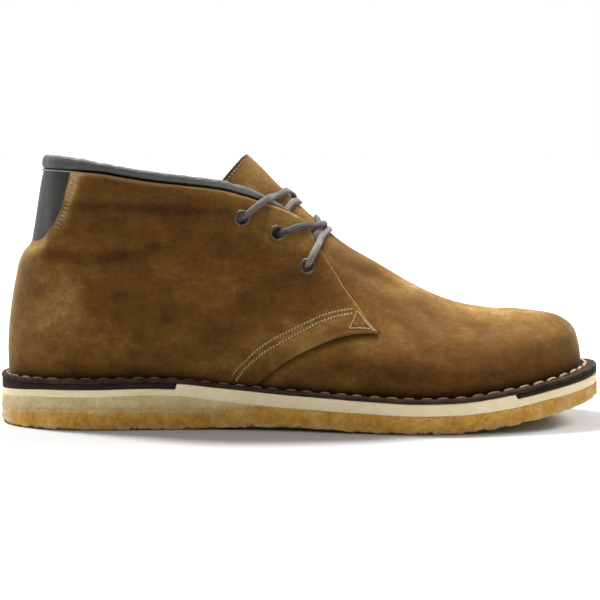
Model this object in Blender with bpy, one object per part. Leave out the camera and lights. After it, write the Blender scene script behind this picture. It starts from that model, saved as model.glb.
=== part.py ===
"""Ankle-high suede chukka boot, right foot, on a crepe sole.

Metres, +Z up. +X points to the toe, -Y is the outer (lateral) side, +Y the inner (medial) side.
The shoe stands on Z = 0. Tables below are in millimetres, one row for each section along the shoe.
"""

import math

import bmesh
import bpy
import numpy as np

MM = 0.001

# ---------------------------------------------------------------- driving sizes, mm
LENGTH = 300.0            # outsole, heel to toe
HALF = LENGTH / 2
GAP = 0.3                 # between neighbouring pieces
WALL = 2.0                # suede with its lining
OVERLAY = 1.8             # the quarters lie this much proud of vamp and tongue
INSOLE_THICK = 3.2
TAB_SINK = 1.1            # the heel tab's face lies this much below the quarters' face
BINDING_WIDE = 4.6        # padded collar roll, across
BINDING_TALL = 5.4        # padded collar roll, up and down
LACE_WIDE = 3.2
EYELET_OUTER = 8.6
EYELET_HOLE = 5.2
EYELET_TALL = 1.1
HEEL_INSERT_END = -60.5   # front end of the black heel insert
TOE_INSERT_END = 103.5    # rear end of the black toe insert
WEDGE_END = -22.0         # where the heel wedge runs out
FAN_HEEL = -105.0         # behind this the sections fan round the heel
FAN_TOE = 80.0            # ahead of this the sections close round the toe
RIDGE_END = 118.0         # where the sections meet on top of the toe
SLOT_END = 25.0           # front end of the throat opening, on the ridge
TAB_SPREAD = 75.0         # half angle of the heel tab at the collar, degrees

# Plan outline of the welt and sole: half widths to each side of the centreline.
OUTLINE = {
    "x":       (-150, -139.5, -115, -88, -60, -30, 0, 28, 52, 75, 98, 118, 134, 144.5, 150),
    "lateral": (0, 24.8, 37.0, 37.8, 36.6, 37.4, 42.6, 49.6, 53.6, 54.0, 50.6, 43.6, 33.4, 21.0, 0),
    "medial":  (0, 24.8, 36.4, 36.0, 33.2, 31.4, 34.6, 41.6, 48.6, 50.8, 47.4, 40.4, 31.2, 20.0, 0),
}
CENTRE = {"x": (-150, -60, 0, 60, 100, 150), "y": (-0.6, -1.0, -0.2, 1.4, 4.0, 7.4)}

# Heights of the sole's layers along the shoe.
LAYERS = {
    "x":      (-150, -140, -125, -100, -75, -60, -42, -28, -10, 12, 36, 57, 75, 90, 104, 116, 127, 138, 150),
    "ground": (0.9, 0.2, 0.0, 0.0, 0.0, 0.0, 0.5, 1.1, 1.4, 1.1, 0.1, 0.0, 0.0, 1.2, 3.2, 5.2, 7.4, 9.8, 12.6),
    "amber":  (7.0, 8.8, 10.2, 10.4, 10.2, 10.0, 10.2, 11.2, 11.5, 10.5, 9.6, 8.9, 9.1, 10.2, 11.9, 13.9, 15.8, 17.6, 19.8),
    "crepe":  (13.8, 15.0, 16.0, 16.2, 17.0, 16.6, 14.4, 12.9, 11.5, 10.5, 9.6, 8.9, 9.1, 10.2, 11.9, 13.9, 15.8, 17.6, 19.8),
    "thin":   (17.4, 18.7, 19.7, 19.9, 20.4, 19.9, 17.6, 16.2, 15.0, 14.0, 13.1, 12.4, 12.6, 14.0, 16.0, 18.0, 20.1, 22.1, 24.2),
    "filler": (21.8, 22.2, 22.6, 22.7, 23.3, 22.8, 20.9, 19.6, 18.0, 16.8, 15.6, 14.8, 15.1, 16.4, 18.3, 20.1, 22.1, 24.2, 26.4),
    "welt":   (24.6, 24.9, 25.0, 25.1, 25.6, 25.1, 23.2, 21.9, 20.2, 19.0, 17.8, 17.0, 17.3, 18.6, 20.5, 22.2, 24.2, 26.3, 28.4),
}
# The crepe sheets' flats, where "ground" is held at exactly zero.
HEEL_FLAT = (-122.0, -62.0)
BALL_FLAT = (44.0, 77.0)

# The foot form: one row for each section; x is the section's place on the sole.
# inset: feather line in from the welt's edge. belly: fullest point, outward of the feather line and above it.
# mid: a point outward of the feather line (negative is inward), at a height over the ground.
# top: half width and height of the collar edge (rear) or of the shoulder of the instep (front).
# crown: half width of the closed form's own top edge, which the instep ridge brings to zero.
FORM = {
    "x":        (-150, -128, -105, -80, -50, -27, -5, 8, 20, 37, 60, 85, 105, 125, 150),
    "inset_l":  (5.1, 5.7, 6.2, 6.0, 5.0, 5.0, 5.4, 5.8, 6.2, 6.4, 6.6, 6.8, 7.0, 7.4, 7.6),
    "inset_m":  (5.1, 5.7, 6.2, 6.2, 5.6, 5.4, 5.6, 5.8, 6.2, 6.4, 6.6, 6.8, 7.0, 7.4, 7.6),
    "belly_l":  (0.2, 0.9, 1.8, 2.2, 2.9, 3.4, 3.4, 3.1, 2.8, 2.4, 2.0, 1.5, 0.8, 0.2, -0.6),
    "belly_m":  (0.2, 0.9, 1.8, 2.0, 2.4, 2.8, 2.9, 2.8, 2.6, 2.3, 2.0, 1.5, 0.8, 0.2, -0.6),
    "belly_h":  (22, 22, 22, 21, 19, 17, 15, 14, 13.5, 13, 12.5, 12, 12, 12, 12),
    "mid_l":    (-5.3, -3.7, -1.9, -1.7, -2.1, -4.2, -7.0, -7.6, -7.2, -6.4, -5.0, -4.0, -3.4, -3.2, -3.6),
    "mid_m":    (-5.3, -3.7, -1.9, -1.5, -1.0, -2.4, -4.4, -5.2, -5.4, -5.0, -4.2, -3.6, -3.2, -3.2, -3.6),
    "mid_z":    (80, 80, 79, 76, 70, 65, 60, 56.5, 53, 47, 41.5, 38.5, 39.5, 42.5, 46.5),
    "top_l":    (24.6, 26.6, 28.4, 30.4, 30.0, 26.6, 22.2, 21.4, 22.0, 23.6, 25.6, 26.2, 23.6, 19.4, 15.0),
    "top_m":    (24.6, 26.6, 28.4, 30.0, 29.6, 26.4, 21.6, 20.6, 21.0, 22.2, 24.0, 24.6, 22.6, 19.0, 15.0),
    "top_zl":   (125.8, 125.6, 124.8, 121.6, 117.0, 112.0, 97.0, 86.5, 77.0, 66.5, 55.6, 49.2, 48.6, 49.6, 51.2),
    "top_zm":   (125.8, 125.8, 125.4, 122.6, 118.2, 113.2, 98.6, 88.4, 79.2, 68.8, 58.0, 51.2, 50.0, 50.2, 51.2),
    "crown_w":  (22.0, 25.0, 27.6, 29.6, 20.0, 0.0, 0, 0, 0, 0, 0, 0, 0, 0, 0),
    "crown_z":  (146, 145, 144, 141, 137.4, 134.2, 0, 0, 0, 0, 0, 0, 0, 0, 0),
    "lean":     (80, 82, 84, 84, 45, 0, 0, 0, 0, 0, 0, 0, 0, 0, 0),
}
# Top line of instep and vamp on the centreline.
RIDGE = {
    "x": (-50, -27, -15, 0, 12, 24, 37, 50, 63, 76, 88, 98, 108, 118, 126),
    "z": (156, 134.2, 122.8, 108.4, 97.6, 87.8, 79.8, 71.8, 65.0, 60.0, 57.2, 56.2, 55.6, 54.8, 53.6),
}
RIDGE_SIDE = {"x": (-150, -60, -27, 20, 60, 100, 150), "y": (-0.8, -0.6, 0.4, 2.8, 4.6, 5.8, 6.6)}
# Height of the quarters' free edge: the collar, then the front edge of the eyelet facing.
COLLAR = {
    "x": (-150, -128, -112, -98, -85, -73, -55, -38, -29, -20, -12, -4),
    "z": (125.8, 125.8, 125.3, 124.4, 122.3, 120.4, 118.2, 115.8, 113.2, 110.0, 107.0, 103.2),
}
FACING = {
    "x": (-4, 2, 6, 8, 11.5, 15, 18, 20.5, 24.5, 28.5, 31.7, 34.5, 37),
    "z": (103.2, 100.0, 93.1, 89.2, 84.9, 79.1, 73.9, 69.6, 64.4, 59.8, 54.2, 50.0, 48.2),
}
# The quarters' lower edge, lapped over the vamp.
SEAM = {
    "x": (-22, -16, -12, -6, 2, 10, 18, 26, 33, 37),
    "z": (21.0, 27.0, 30.5, 34.2, 37.6, 41.8, 44.6, 46.8, 47.8, 48.2),
}
# The U notch for the heel tab: height of its edge by the angle from the back of the heel.
NOTCH = {"angle": (0, 20, 35, 46, 54, 60, 66, 71, 75), "z": (90.4, 90.8, 92.6, 95.0, 98.4, 103.4, 110.0, 117.5, 125.4)}
EYELETS = {"x": (-28.6, -11.4, 3.2), "z": (102.6, 95.4, 79.0)}
BRASS = (0.165, 0.125, 0.085)

# ---------------------------------------------------------------- scene
for old in list(bpy.data.objects):
    bpy.data.objects.remove(old, do_unlink=True)


def material(name, colour, roughness, metallic=0.0):
    mat = bpy.data.materials.new(name)
    mat.use_nodes = True
    shader = mat.node_tree.nodes["Principled BSDF"]
    shader.inputs["Base Color"].default_value = (*colour, 1)
    shader.inputs["Roughness"].default_value = roughness
    shader.inputs["Metallic"].default_value = metallic
    mat.diffuse_color = (*colour, 1)
    return mat


def add_object(name, points, faces, mat, smooth=True):
    """One object from points in millimetres. Coincident points are welded and faces turned outward."""
    mesh = bpy.data.meshes.new(name)
    mesh.from_pydata([tuple(p * MM for p in q) for q in points], [], [tuple(int(i) for i in f) for f in faces])
    work = bmesh.new()
    work.from_mesh(mesh)
    bmesh.ops.remove_doubles(work, verts=work.verts, dist=2e-6)
    bmesh.ops.dissolve_degenerate(work, edges=work.edges, dist=1e-6)
    bmesh.ops.triangulate(work, faces=work.faces)
    bmesh.ops.recalc_face_normals(work, faces=work.faces)
    if sum(f.calc_center_median().dot(f.normal) * f.calc_area() for f in work.faces) < 0:
        bmesh.ops.reverse_faces(work, faces=work.faces)
    work.to_mesh(mesh)
    work.free()
    mesh.materials.append(mat)
    if smooth:
        mesh.shade_smooth()
        mesh.set_sharp_from_angle(angle=math.radians(40))
    obj = bpy.data.objects.new(name, mesh)
    bpy.context.scene.collection.objects.link(obj)
    return obj


# ---------------------------------------------------------------- curves through tables
def natural(xs, ys):
    """Natural cubic spline through a table's two columns, as a function of arrays."""
    xs, ys = np.asarray(xs, float), np.asarray(ys, float)
    n, h = len(xs), np.diff(xs)
    a, b = np.zeros((n, n)), np.zeros(n)
    a[0, 0] = a[-1, -1] = 1
    for i in range(1, n - 1):
        a[i, i - 1 : i + 2] = h[i - 1], 2 * (h[i - 1] + h[i]), h[i]
        b[i] = 6 * ((ys[i + 1] - ys[i]) / h[i] - (ys[i] - ys[i - 1]) / h[i - 1])
    bend = np.linalg.solve(a, b)

    def at(x):
        x = np.clip(np.asarray(x, float), xs[0], xs[-1])
        i = np.clip(np.searchsorted(xs, x, side="right") - 1, 0, n - 2)
        u, v = xs[i + 1] - x, x - xs[i]
        return (
            (bend[i] * u**3 + bend[i + 1] * v**3) / (6 * h[i])
            + (ys[i] / h[i] - bend[i] * h[i] / 6) * u
            + (ys[i + 1] / h[i] - bend[i + 1] * h[i] / 6) * v
        )

    return at


def gentle(xs, ys):
    """Cubic curve through the columns that never overshoots them (limited slopes)."""
    xs, ys = np.asarray(xs, float), np.asarray(ys, float)
    h, step = np.diff(xs), np.diff(ys) / np.diff(xs)
    slope = np.zeros(len(xs))
    for i in range(1, len(xs) - 1):
        if step[i - 1] * step[i] > 0:
            w1, w2 = 2 * h[i] + h[i - 1], h[i] + 2 * h[i - 1]
            slope[i] = (w1 + w2) / (w1 / step[i - 1] + w2 / step[i])
    slope[0], slope[-1] = step[0], step[-1]

    def at(x):
        x = np.clip(np.asarray(x, float), xs[0], xs[-1])
        i = np.clip(np.searchsorted(xs, x, side="right") - 1, 0, len(xs) - 2)
        t = (x - xs[i]) / h[i]
        return (
            ys[i] * (1 + 2 * t) * (1 - t) ** 2 + slope[i] * h[i] * t * (1 - t) ** 2
            + ys[i + 1] * t * t * (3 - 2 * t) + slope[i + 1] * h[i] * t * t * (t - 1)
        )

    return at


def x_of(theta):
    return -HALF * np.cos(theta)


def theta_of(x):
    return np.arccos(np.clip(-np.asarray(x, float) / HALF, -1, 1))


centre = natural(CENTRE["x"], CENTRE["y"])
ridge_side = natural(RIDGE_SIDE["x"], RIDGE_SIDE["y"])
ridge_z = natural(RIDGE["x"], RIDGE["z"])
layer = {k: gentle(LAYERS["x"], v) for k, v in LAYERS.items() if k != "x"}
width = {k: natural(theta_of(OUTLINE["x"]), OUTLINE[k]) for k in ("lateral", "medial")}
form = {k: natural(FORM["x"], v) for k, v in FORM.items() if k not in ("x", "crown_w", "crown_z", "lean")}
crown_w = gentle(FORM["x"], FORM["crown_w"])
crown_z = gentle(FORM["x"][:6], FORM["crown_z"][:6])
lean = gentle(FORM["x"], FORM["lean"])
collar_z = gentle(COLLAR["x"], COLLAR["z"])
facing_z = gentle(FACING["x"], FACING["z"])
seam_z = gentle(SEAM["x"], SEAM["z"])
notch_z = gentle(NOTCH["angle"], NOTCH["z"])


def ground(x):
    """Underside of the outsole: flat at heel and ball, a low arch between, toe spring ahead."""
    z = layer["ground"](x)
    flat = ((x > HEEL_FLAT[0]) & (x < HEEL_FLAT[1])) | ((x > BALL_FLAT[0]) & (x < BALL_FLAT[1]))
    return np.where(flat, 0.0, np.maximum(z, 0.0))


def outline(theta, side, inset=0.0):
    """Plan points of the welt's edge on one side (-1 lateral, +1 medial), moved in by inset."""
    theta = np.asarray(theta, float)
    key = "lateral" if side < 0 else "medial"

    def edge(t):
        t_in = np.abs(t)
        flip = np.sign(np.where(t == 0, 1, t)) * np.where(t_in > math.pi, -1, 1)
        t_in = np.where(t_in > math.pi, 2 * math.pi - t_in, t_in)
        other = "medial" if side < 0 else "lateral"
        w = np.where(flip > 0, width[key](t_in), -width[other](t_in))
        x = x_of(t_in)
        return np.stack([x, centre(x) + side * w], -1)

    step = 0.004
    along = edge(theta + step) - edge(theta - step)
    along /= np.linalg.norm(along, axis=-1, keepdims=True)
    inward = np.stack([side * along[..., 1], -side * along[..., 0]], -1)
    return edge(theta) + inward * np.asarray(inset, float)[..., None]


def axis_x(theta):
    """Where a section's inner edge stands on the centreline: it fans at the heel and closes at the toe."""
    x = x_of(theta)
    soft = 6.0
    x = FAN_HEEL + soft * np.logaddexp(0, (x - FAN_HEEL) / soft)
    s = np.clip((x - FAN_TOE) / (HALF - FAN_TOE), 0, 1)
    ahead = (RIDGE_END - FAN_TOE) * (s * (HALF - FAN_TOE) / (RIDGE_END - FAN_TOE) * (1 - s) ** 1.5 + s * s * (3 - 2 * s) * (1 - (1 - s) ** 1.5))
    return np.where(x < FAN_TOE, x, FAN_TOE + ahead)


def controls(theta, side):
    """(centre point, direction, five control points (out, up)) of each section."""
    theta = np.atleast_1d(np.asarray(theta, float))
    x, s = x_of(theta), ("l" if side < 0 else "m")
    foot = outline(theta, side, form["inset_" + s](x))
    ax = axis_x(theta)
    axis = np.stack([ax, ridge_side(ax)], -1)
    out = foot - axis
    reach = np.linalg.norm(out, axis=-1)
    out /= reach[:, None]
    base = layer["filler"](foot[:, 0]) + GAP
    c = np.zeros((len(theta), 5, 2))
    c[:, 0] = np.stack([reach, base], -1)
    c[:, 1] = np.stack([reach + form["belly_" + s](x), base + form["belly_h"](x)], -1)
    c[:, 2] = np.stack([reach + form["mid_" + s](x), form["mid_z"](x)], -1)
    c[:, 3] = np.stack([form["top_" + s](x), form["top_z" + s](x)], -1)
    closed = np.clip((x + 50) / 23, 0, 1)
    closed = closed * closed * (3 - 2 * closed)
    c[:, 4, 0] = crown_w(x)
    c[:, 4, 1] = crown_z(x) * (1 - closed) + ridge_z(ax) * closed
    slope = (ridge_z(ax + 0.5) - ridge_z(ax - 0.5)) * closed
    angle = np.radians(lean(x))
    end = np.stack([-np.cos(angle), np.sin(angle) - slope * out[:, 0]], -1)
    end /= np.linalg.norm(end, axis=-1, keepdims=True)
    return axis, out, c, end


def surface(theta, p, side):
    """Points of the foot form. p runs 0 to 1 from feather line to collar or shoulder, 1 to 2 on to the ridge."""
    theta, p = np.broadcast_arrays(np.asarray(theta, float), np.asarray(p, float))
    shape = theta.shape
    theta, p = theta.ravel(), p.ravel()
    axis, out, c, end = controls(theta, side)
    chord = np.linalg.norm(np.diff(c, axis=1), axis=-1)
    lead = (c[:, 1:] - c[:, :-1]) / chord[..., None]
    tangent = np.zeros_like(c)
    tangent[:, 0] = (0.06, 1.0)
    for i in (1, 2, 3):
        a, b = chord[:, i - 1, None], chord[:, i, None]
        tangent[:, i] = (lead[:, i - 1] * b + lead[:, i] * a) / (a + b)
    tangent[:, 4] = end
    lower = chord[:, :3].sum(1)
    run = np.where(p <= 1, p * lower, lower + (p - 1) * chord[:, 3])
    knots = np.concatenate([np.zeros((len(p), 1)), np.cumsum(chord, 1)], 1)
    seg = np.clip((run[:, None] >= knots[:, 1:4]).sum(1), 0, 3)
    k = np.arange(len(p))
    d = chord[k, seg]
    t = ((run - knots[k, seg]) / d)[:, None]
    q = (
        c[k, seg] * (1 + 2 * t) * (1 - t) ** 2 + tangent[k, seg] * d[:, None] * t * (1 - t) ** 2
        + c[k, seg + 1] * t * t * (3 - 2 * t) + tangent[k, seg + 1] * d[:, None] * t * t * (t - 1)
    )
    plan = axis + out * q[:, :1]
    return np.concatenate([plan, q[:, 1:]], -1).reshape(*shape, 3)


def normal(theta, p, side):
    """Outward normal of the foot form."""
    theta, p = np.broadcast_arrays(np.asarray(theta, float), np.asarray(p, float))
    dt, dp = 0.01, 0.01
    t0, t1 = np.clip(theta - dt, 0.004, math.pi - 0.02), np.clip(theta + dt, 0.024, math.pi - 0.004)
    p0, p1 = np.clip(p - dp, 0, 2), np.clip(p + dp, 0, 2)
    a = surface(t1, p, side) - surface(t0, p, side)
    b = surface(theta, p1, side) - surface(theta, p0, side)
    n = np.cross(a, b) * (1 if side < 0 else -1)
    return n / np.linalg.norm(n, axis=-1, keepdims=True)


def p_at_height(theta, side, z, low=0.0, high=1.98):
    """The p at which each section reaches a height."""
    theta = np.atleast_1d(np.asarray(theta, float))
    z = np.broadcast_to(np.asarray(z, float), theta.shape)
    lo, hi = np.full(theta.shape, low), np.full(theta.shape, high)
    for _ in range(34):
        m = (lo + hi) / 2
        under = surface(theta, m, side)[..., 2] < z
        lo, hi = np.where(under, m, lo), np.where(under, hi, m)
    return (lo + hi) / 2


def on_section(x, z, side):
    """(theta, p) of the point at a place along the shoe and a height."""
    theta = float(theta_of(x))
    for _ in range(12):
        p = float(p_at_height(theta, side, z)[0])
        theta += (x - float(surface(theta, p, side)[0])) / (HALF * max(math.sin(theta), 0.2))
    return theta, p


def proud(theta, p, side):
    """How far the upper's face stands over the foot form: quarters over the vamp, ramped at their lapped edge."""
    x = x_of(theta)
    z = surface(theta, p, side)[..., 2]
    over = np.clip((z - seam_z(x)) / 5.0 + 0.5, 0, 1)
    ahead = np.clip((39.0 - x) / 8.0, 0, 1)
    behind = np.clip((-18.0 - x) / 10.0, 0, 1)
    share = np.maximum(over * ahead, behind)
    return OVERLAY * share


# ---------------------------------------------------------------- sole
def stations(low, high, step=6.0, also=()):
    """Section places between two ends, closer together round heel and toe."""
    count = int(round(math.pi / (step / HALF)))
    xs = [float(x_of(math.pi * i / count)) for i in range(count + 1)]
    xs = [x for x in xs if low + 0.8 < x < high - 0.8 and all(abs(x - a) > 1.2 for a in also)]
    return sorted({low, high, *xs, *[a for a in also if low < a < high]})


def slab(name, xs, bottom, top, mat, inset=0.0, edge=0.6):
    """A sheet with the sole's outline between two heights that vary along the shoe, its edges eased."""
    rows = []
    for x in xs:
        theta = float(theta_of(x))
        ends = []
        for move in (inset, inset + edge):
            for side in (-1, 1):
                q = outline(theta, side, move)
                ends.append((float(q[0]), float(q[1])))
        (lx, ly), (rx, ry), (lix, liy), (rix, riy) = ends
        b, t = float(bottom(np.array(x))), float(top(np.array(x)))
        e = min(edge, (t - b) * 0.3)
        rows.append([(lix, liy, b), (lx, ly, b + e), (lx, ly, t - e), (lix, liy, t),
                     (rix, riy, t), (rx, ry, t - e), (rx, ry, b + e), (rix, riy, b)])
    points = [p for row in rows for p in row]
    faces = []
    for i in range(len(rows) - 1):
        for j in range(8):
            k = (j + 1) % 8
            faces.append((8 * i + j, 8 * i + k, 8 * i + 8 + k, 8 * i + 8 + j))
    faces.append(tuple(range(8)))
    faces.append(tuple(8 * (len(rows) - 1) + j for j in reversed(range(8))))
    return add_object(name, points, faces, mat)


crepe_mat = material("crepe_amber", (0.33, 0.175, 0.055), 0.75)
wedge_mat = material("crepe_pale", (0.42, 0.33, 0.19), 0.8)
cream_mat = material("midsole_cream", (0.72, 0.60, 0.38), 0.6)
black_mat = material("insert_black", (0.022, 0.019, 0.019), 0.55)
welt_mat = material("welt_brown", (0.07, 0.04, 0.028), 0.6)
suede_mat = material("suede_tan", (0.30, 0.165, 0.055), 0.95)
grey_mat = material("leather_grey", (0.11, 0.105, 0.10), 0.6)
lining_mat = material("insole_leather", (0.36, 0.25, 0.14), 0.7)
brass_mat = material("eyelet_brass", BRASS, 0.42, 0.9)
lace_mat = material("lace_grey", (0.17, 0.145, 0.135), 0.85)

tip = HALF - 0.35
turns = (HEEL_INSERT_END - GAP, HEEL_INSERT_END, HEEL_INSERT_END + 0.4, TOE_INSERT_END - 0.4, TOE_INSERT_END, TOE_INSERT_END + GAP)
marks = (*HEEL_FLAT, *BALL_FLAT, WEDGE_END, WEDGE_END + 0.4, *turns)
PLACES = stations(-tip, tip, 9.0, marks)


def wedge_floor(x):
    return np.minimum(layer["amber"](x), layer["crepe"](x) - 0.9)


def between(low, high, skip=()):
    return [x for x in PLACES if low - 1e-6 <= x <= high + 1e-6 and x not in skip]


slab("outsole", between(-tip, tip, turns), ground,
     lambda x: np.where(x < WEDGE_END + 0.2, wedge_floor(x), layer["crepe"](x)) - GAP / 2, crepe_mat, 0.0, 0.9)
slab("heel_wedge", between(-tip, WEDGE_END, (*turns, WEDGE_END)) + [WEDGE_END - GAP],
     lambda x: wedge_floor(x) + GAP / 2, lambda x: layer["crepe"](x) - GAP / 2, wedge_mat, 0.0, 0.3)
slab("midsole", between(-tip, tip, (turns[0], turns[5])), lambda x: layer["crepe"](x) + GAP / 2,
     lambda x: np.where((x > HEEL_INSERT_END + 0.2) & (x < TOE_INSERT_END - 0.2), layer["filler"](x), layer["thin"](x)) - GAP / 2,
     cream_mat, 0.3, 0.5)
slab("heel_insert", between(-tip, HEEL_INSERT_END - GAP), lambda x: layer["thin"](x) + GAP / 2,
     lambda x: layer["filler"](x) - GAP / 2, black_mat, 0.2, 0.4)
slab("toe_insert", between(TOE_INSERT_END + GAP, tip), lambda x: layer["thin"](x) + GAP / 2,
     lambda x: layer["filler"](x) - GAP / 2, black_mat, 0.6, 0.4)


def ring_points(count, inset_l, inset_m):
    """Closed plan loop, back of heel, lateral side, toe, medial side, with the thetas used."""
    thetas = [math.pi * i / count for i in range(count + 1)]
    loop = []
    for t in thetas:
        x = float(x_of(t))
        loop.append((t, -1, outline(t, -1, inset_l(x))))
    for t in reversed(thetas[1:-1]):
        x = float(x_of(t))
        loop.append((t, 1, outline(t, 1, inset_m(x))))
    return loop


def welt_strip():
    """The welt: a flat strip round the edge, open in the middle where the upper comes through."""
    count = 44
    outer = ring_points(count, lambda x: 0.7 if x > 90 else 0.2, lambda x: 0.7 if x > 90 else 0.2)
    clear = lambda side: (lambda x: float(form["inset_" + side](x)) - OVERLAY * float(np.clip((-8 - x) / 14, 0, 1)) - 1.0)
    inner = ring_points(count, clear("l"), clear("m"))
    points, faces, n = [], [], len(outer)
    for (t, _, a), (_, _, b) in zip(outer, inner):
        low = float(layer["filler"](a[0])) + GAP / 2
        high = float(layer["welt"](a[0]))
        toward = (b - a) / np.linalg.norm(b - a)
        ease = a + toward * 0.5
        points += [(b[0], b[1], low), (a[0], a[1], low), (a[0], a[1], high - 0.5), (ease[0], ease[1], high), (b[0], b[1], high)]
    for i in range(n):
        k = (i + 1) % n
        for j in range(5):
            m = (j + 1) % 5
            faces.append((5 * i + j, 5 * i + m, 5 * k + m, 5 * k + j))
    return add_object("welt", points, faces, welt_mat)


welt_strip()

# ---------------------------------------------------------------- upper
# Sections of the upper from heel to toe: fine steps at the heel tab, the throat and the toe.
heel_angles = (0, 12, 24, 35, 46, 54, 60, 66, 71, 75)


def theta_at_angle(angle, side):
    """The section that leaves the heel's centre at an angle from the back."""
    lo, hi = 0.0, math.pi / 2
    for _ in range(40):
        mid = (lo + hi) / 2
        _, out, _, _ = controls(mid, side)
        turn = math.degrees(math.atan2(abs(float(out[0, 1])), -float(out[0, 0])))
        lo, hi = (mid, hi) if turn < angle else (lo, mid)
    return (lo + hi) / 2


heel_thetas = [0.0] + [theta_at_angle(a, -1) for a in heel_angles[1:]]
body_thetas = [float(theta_of(x)) for x in (-102, -92, -81, -69, -57, -46, -36, -28, -21, -14, -8, -3, 2, 6, 10, 15, 20, 25, 31, 38, 46, 55, 65, 76, 88, 99, 110, 120, 128.5, 136, 142, 146.5, 149.2)]
RIBS = heel_thetas + body_thetas + [math.pi]
LEVELS = 12


def edge_height(theta, side):
    """Height of the upper's free edge at a section, or None where the section runs on to the ridge."""
    x = float(x_of(theta))
    if x < COLLAR["x"][-1]:
        return float(collar_z(x)) + (0.6 if side > 0 else 0.0)
    if x < 6:
        return float(facing_z(x)) + (0.6 if side > 0 else 0.0)
    if x < SLOT_END - 1:
        return float(ridge_z(x)) - 10.0 * math.sqrt(1 - ((x - 6) / (SLOT_END - 6)) ** 2)
    return None


def notch_height(theta, side):
    angle = math.degrees(math.atan2(abs(float(controls(theta, side)[1][0, 1])), -float(controls(theta, side)[1][0, 0])))
    return float(notch_z(angle)) if angle < TAB_SPREAD - 0.2 else None


def top_p(theta, side, notched=True):
    z = edge_height(theta, side)
    if z is None:
        return 2.0
    cut = notch_height(theta, side) if notched else None
    return float(p_at_height(theta, side, z if cut is None else cut)[0])


def welded(points, faces):
    """Merge equal points: (points, faces)."""
    points = np.asarray(points, float)
    _, first, index = np.unique(np.round(points, 4), axis=0, return_index=True, return_inverse=True)
    return points[first], [tuple(int(index.reshape(-1)[i]) for i in f) for f in faces]


def vertex_normals(points, faces):
    normals = np.zeros_like(points)
    for f in faces:
        for i in range(1, len(f) - 1):
            a, b, c = points[f[0]], points[f[i]], points[f[i + 1]]
            n = np.cross(b - a, c - a)
            for k in (f[0], f[i], f[i + 1]):
                normals[k] += n
    size = np.linalg.norm(normals, axis=1, keepdims=True)
    return normals / np.maximum(size, 1e-12)


def thick(name, points, faces, depth, mat, flat_low=None):
    """A closed shell: the given face, its copy set in by the wall, and a rim along every open edge."""
    points, faces = welded(points, faces)
    faces = [tuple(dict.fromkeys(f)) for f in faces]
    faces = [f for f in faces if len(f) > 2]
    n = vertex_normals(points, faces)
    if flat_low is not None:
        low = flat_low(points)
        n[low, 2] = 0
        n[low] /= np.linalg.norm(n[low], axis=1, keepdims=True)
    inner = points - n * depth
    count = len(points)
    both = list(faces) + [tuple(count + i for i in reversed(f)) for f in faces]
    edges = {}
    for f in faces:
        for a, b in zip(f, f[1:] + f[:1]):
            edges[(a, b)] = True
    for a, b in edges:
        if (b, a) not in edges:
            both.append((b, a, count + a, count + b))
    return add_object(name, list(points) + list(inner), both, mat)


def build_upper():
    grid, key = [], []
    for side, order in ((-1, RIBS), (1, list(reversed(RIBS[1:-1])))):
        for theta in order:
            high = top_p(theta, side)
            ps = np.linspace(0, high, LEVELS + 1)
            base = surface(theta, ps, side)
            face = base + normal(theta, ps, side) * proud(np.full(ps.shape, theta), ps, side)[:, None]
            face[0, 2] = base[0, 2]
            if high == 2.0:
                face[-1] = surface(theta, 2.0, side)
            grid.append(face)
            key.append(high == 2.0)
    m = len(grid)
    points = [p for row in grid for p in row]
    faces = []
    for i in range(m):
        k = (i + 1) % m
        for j in range(LEVELS):
            a, b = i * (LEVELS + 1) + j, k * (LEVELS + 1) + j
            faces.append((a, b, b + 1, a + 1))
    low = {tuple(np.round(row[0], 4)) for row in grid}
    pick = lambda pts: np.array([tuple(np.round(q, 4)) in low for q in pts])
    return thick("upper", points, faces, WALL, suede_mat, pick)


build_upper()


# ---------------------------------------------------------------- insole
def build_insole():
    xs = stations(-138.5, 137.0, 9.0)
    rows = []
    for x in xs:
        theta = float(theta_of(x))
        pair = []
        for side, s in ((-1, "l"), (1, "m")):
            move = float(form["inset_" + s](x)) + WALL + GAP + 0.6
            if x < -20:
                move -= OVERLAY * min((-20 - x) / 12, 1)
            q = outline(theta, side, move)
            pair.append(q)
        b = float(layer["filler"](pair[0][0])) + GAP
        t = b + INSOLE_THICK
        (lx, ly), (rx, ry) = pair
        rows.append([(lx, ly, b), (lx, ly, t), (rx, ry, t), (rx, ry, b)])
    points = [p for r in rows for p in r]
    faces = [(4 * i + j, 4 * i + (j + 1) % 4, 4 * i + 4 + (j + 1) % 4, 4 * i + 4 + j) for i in range(len(rows) - 1) for j in range(4)]
    faces += [(0, 1, 2, 3), tuple(4 * (len(rows) - 1) + j for j in (3, 2, 1, 0))]
    return add_object("insole", points, faces, lining_mat)


build_insole()


# ---------------------------------------------------------------- tongue
TONGUE_TOP = -26.6        # apex of the tongue on the ridge
TONGUE_SIDE = -37.0       # its top edge at the sides
TONGUE_FOOT = 33.0        # where it ends under the vamp


def tongue_sink(x, p, p_edge):
    """How deep the tongue's face lies under the foot form: inside the collar roll, then inside the vamp."""
    by_collar = 3.0 * np.clip((0 - x) / 14, 0, 1) * np.clip((2 - p) / max(2 - p_edge, 0.05), 0, 1) ** 2
    under_vamp = 2.2 * np.clip((x - 11.5) / 8, 0, 1)
    return 0.6 + by_collar + under_vamp


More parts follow.
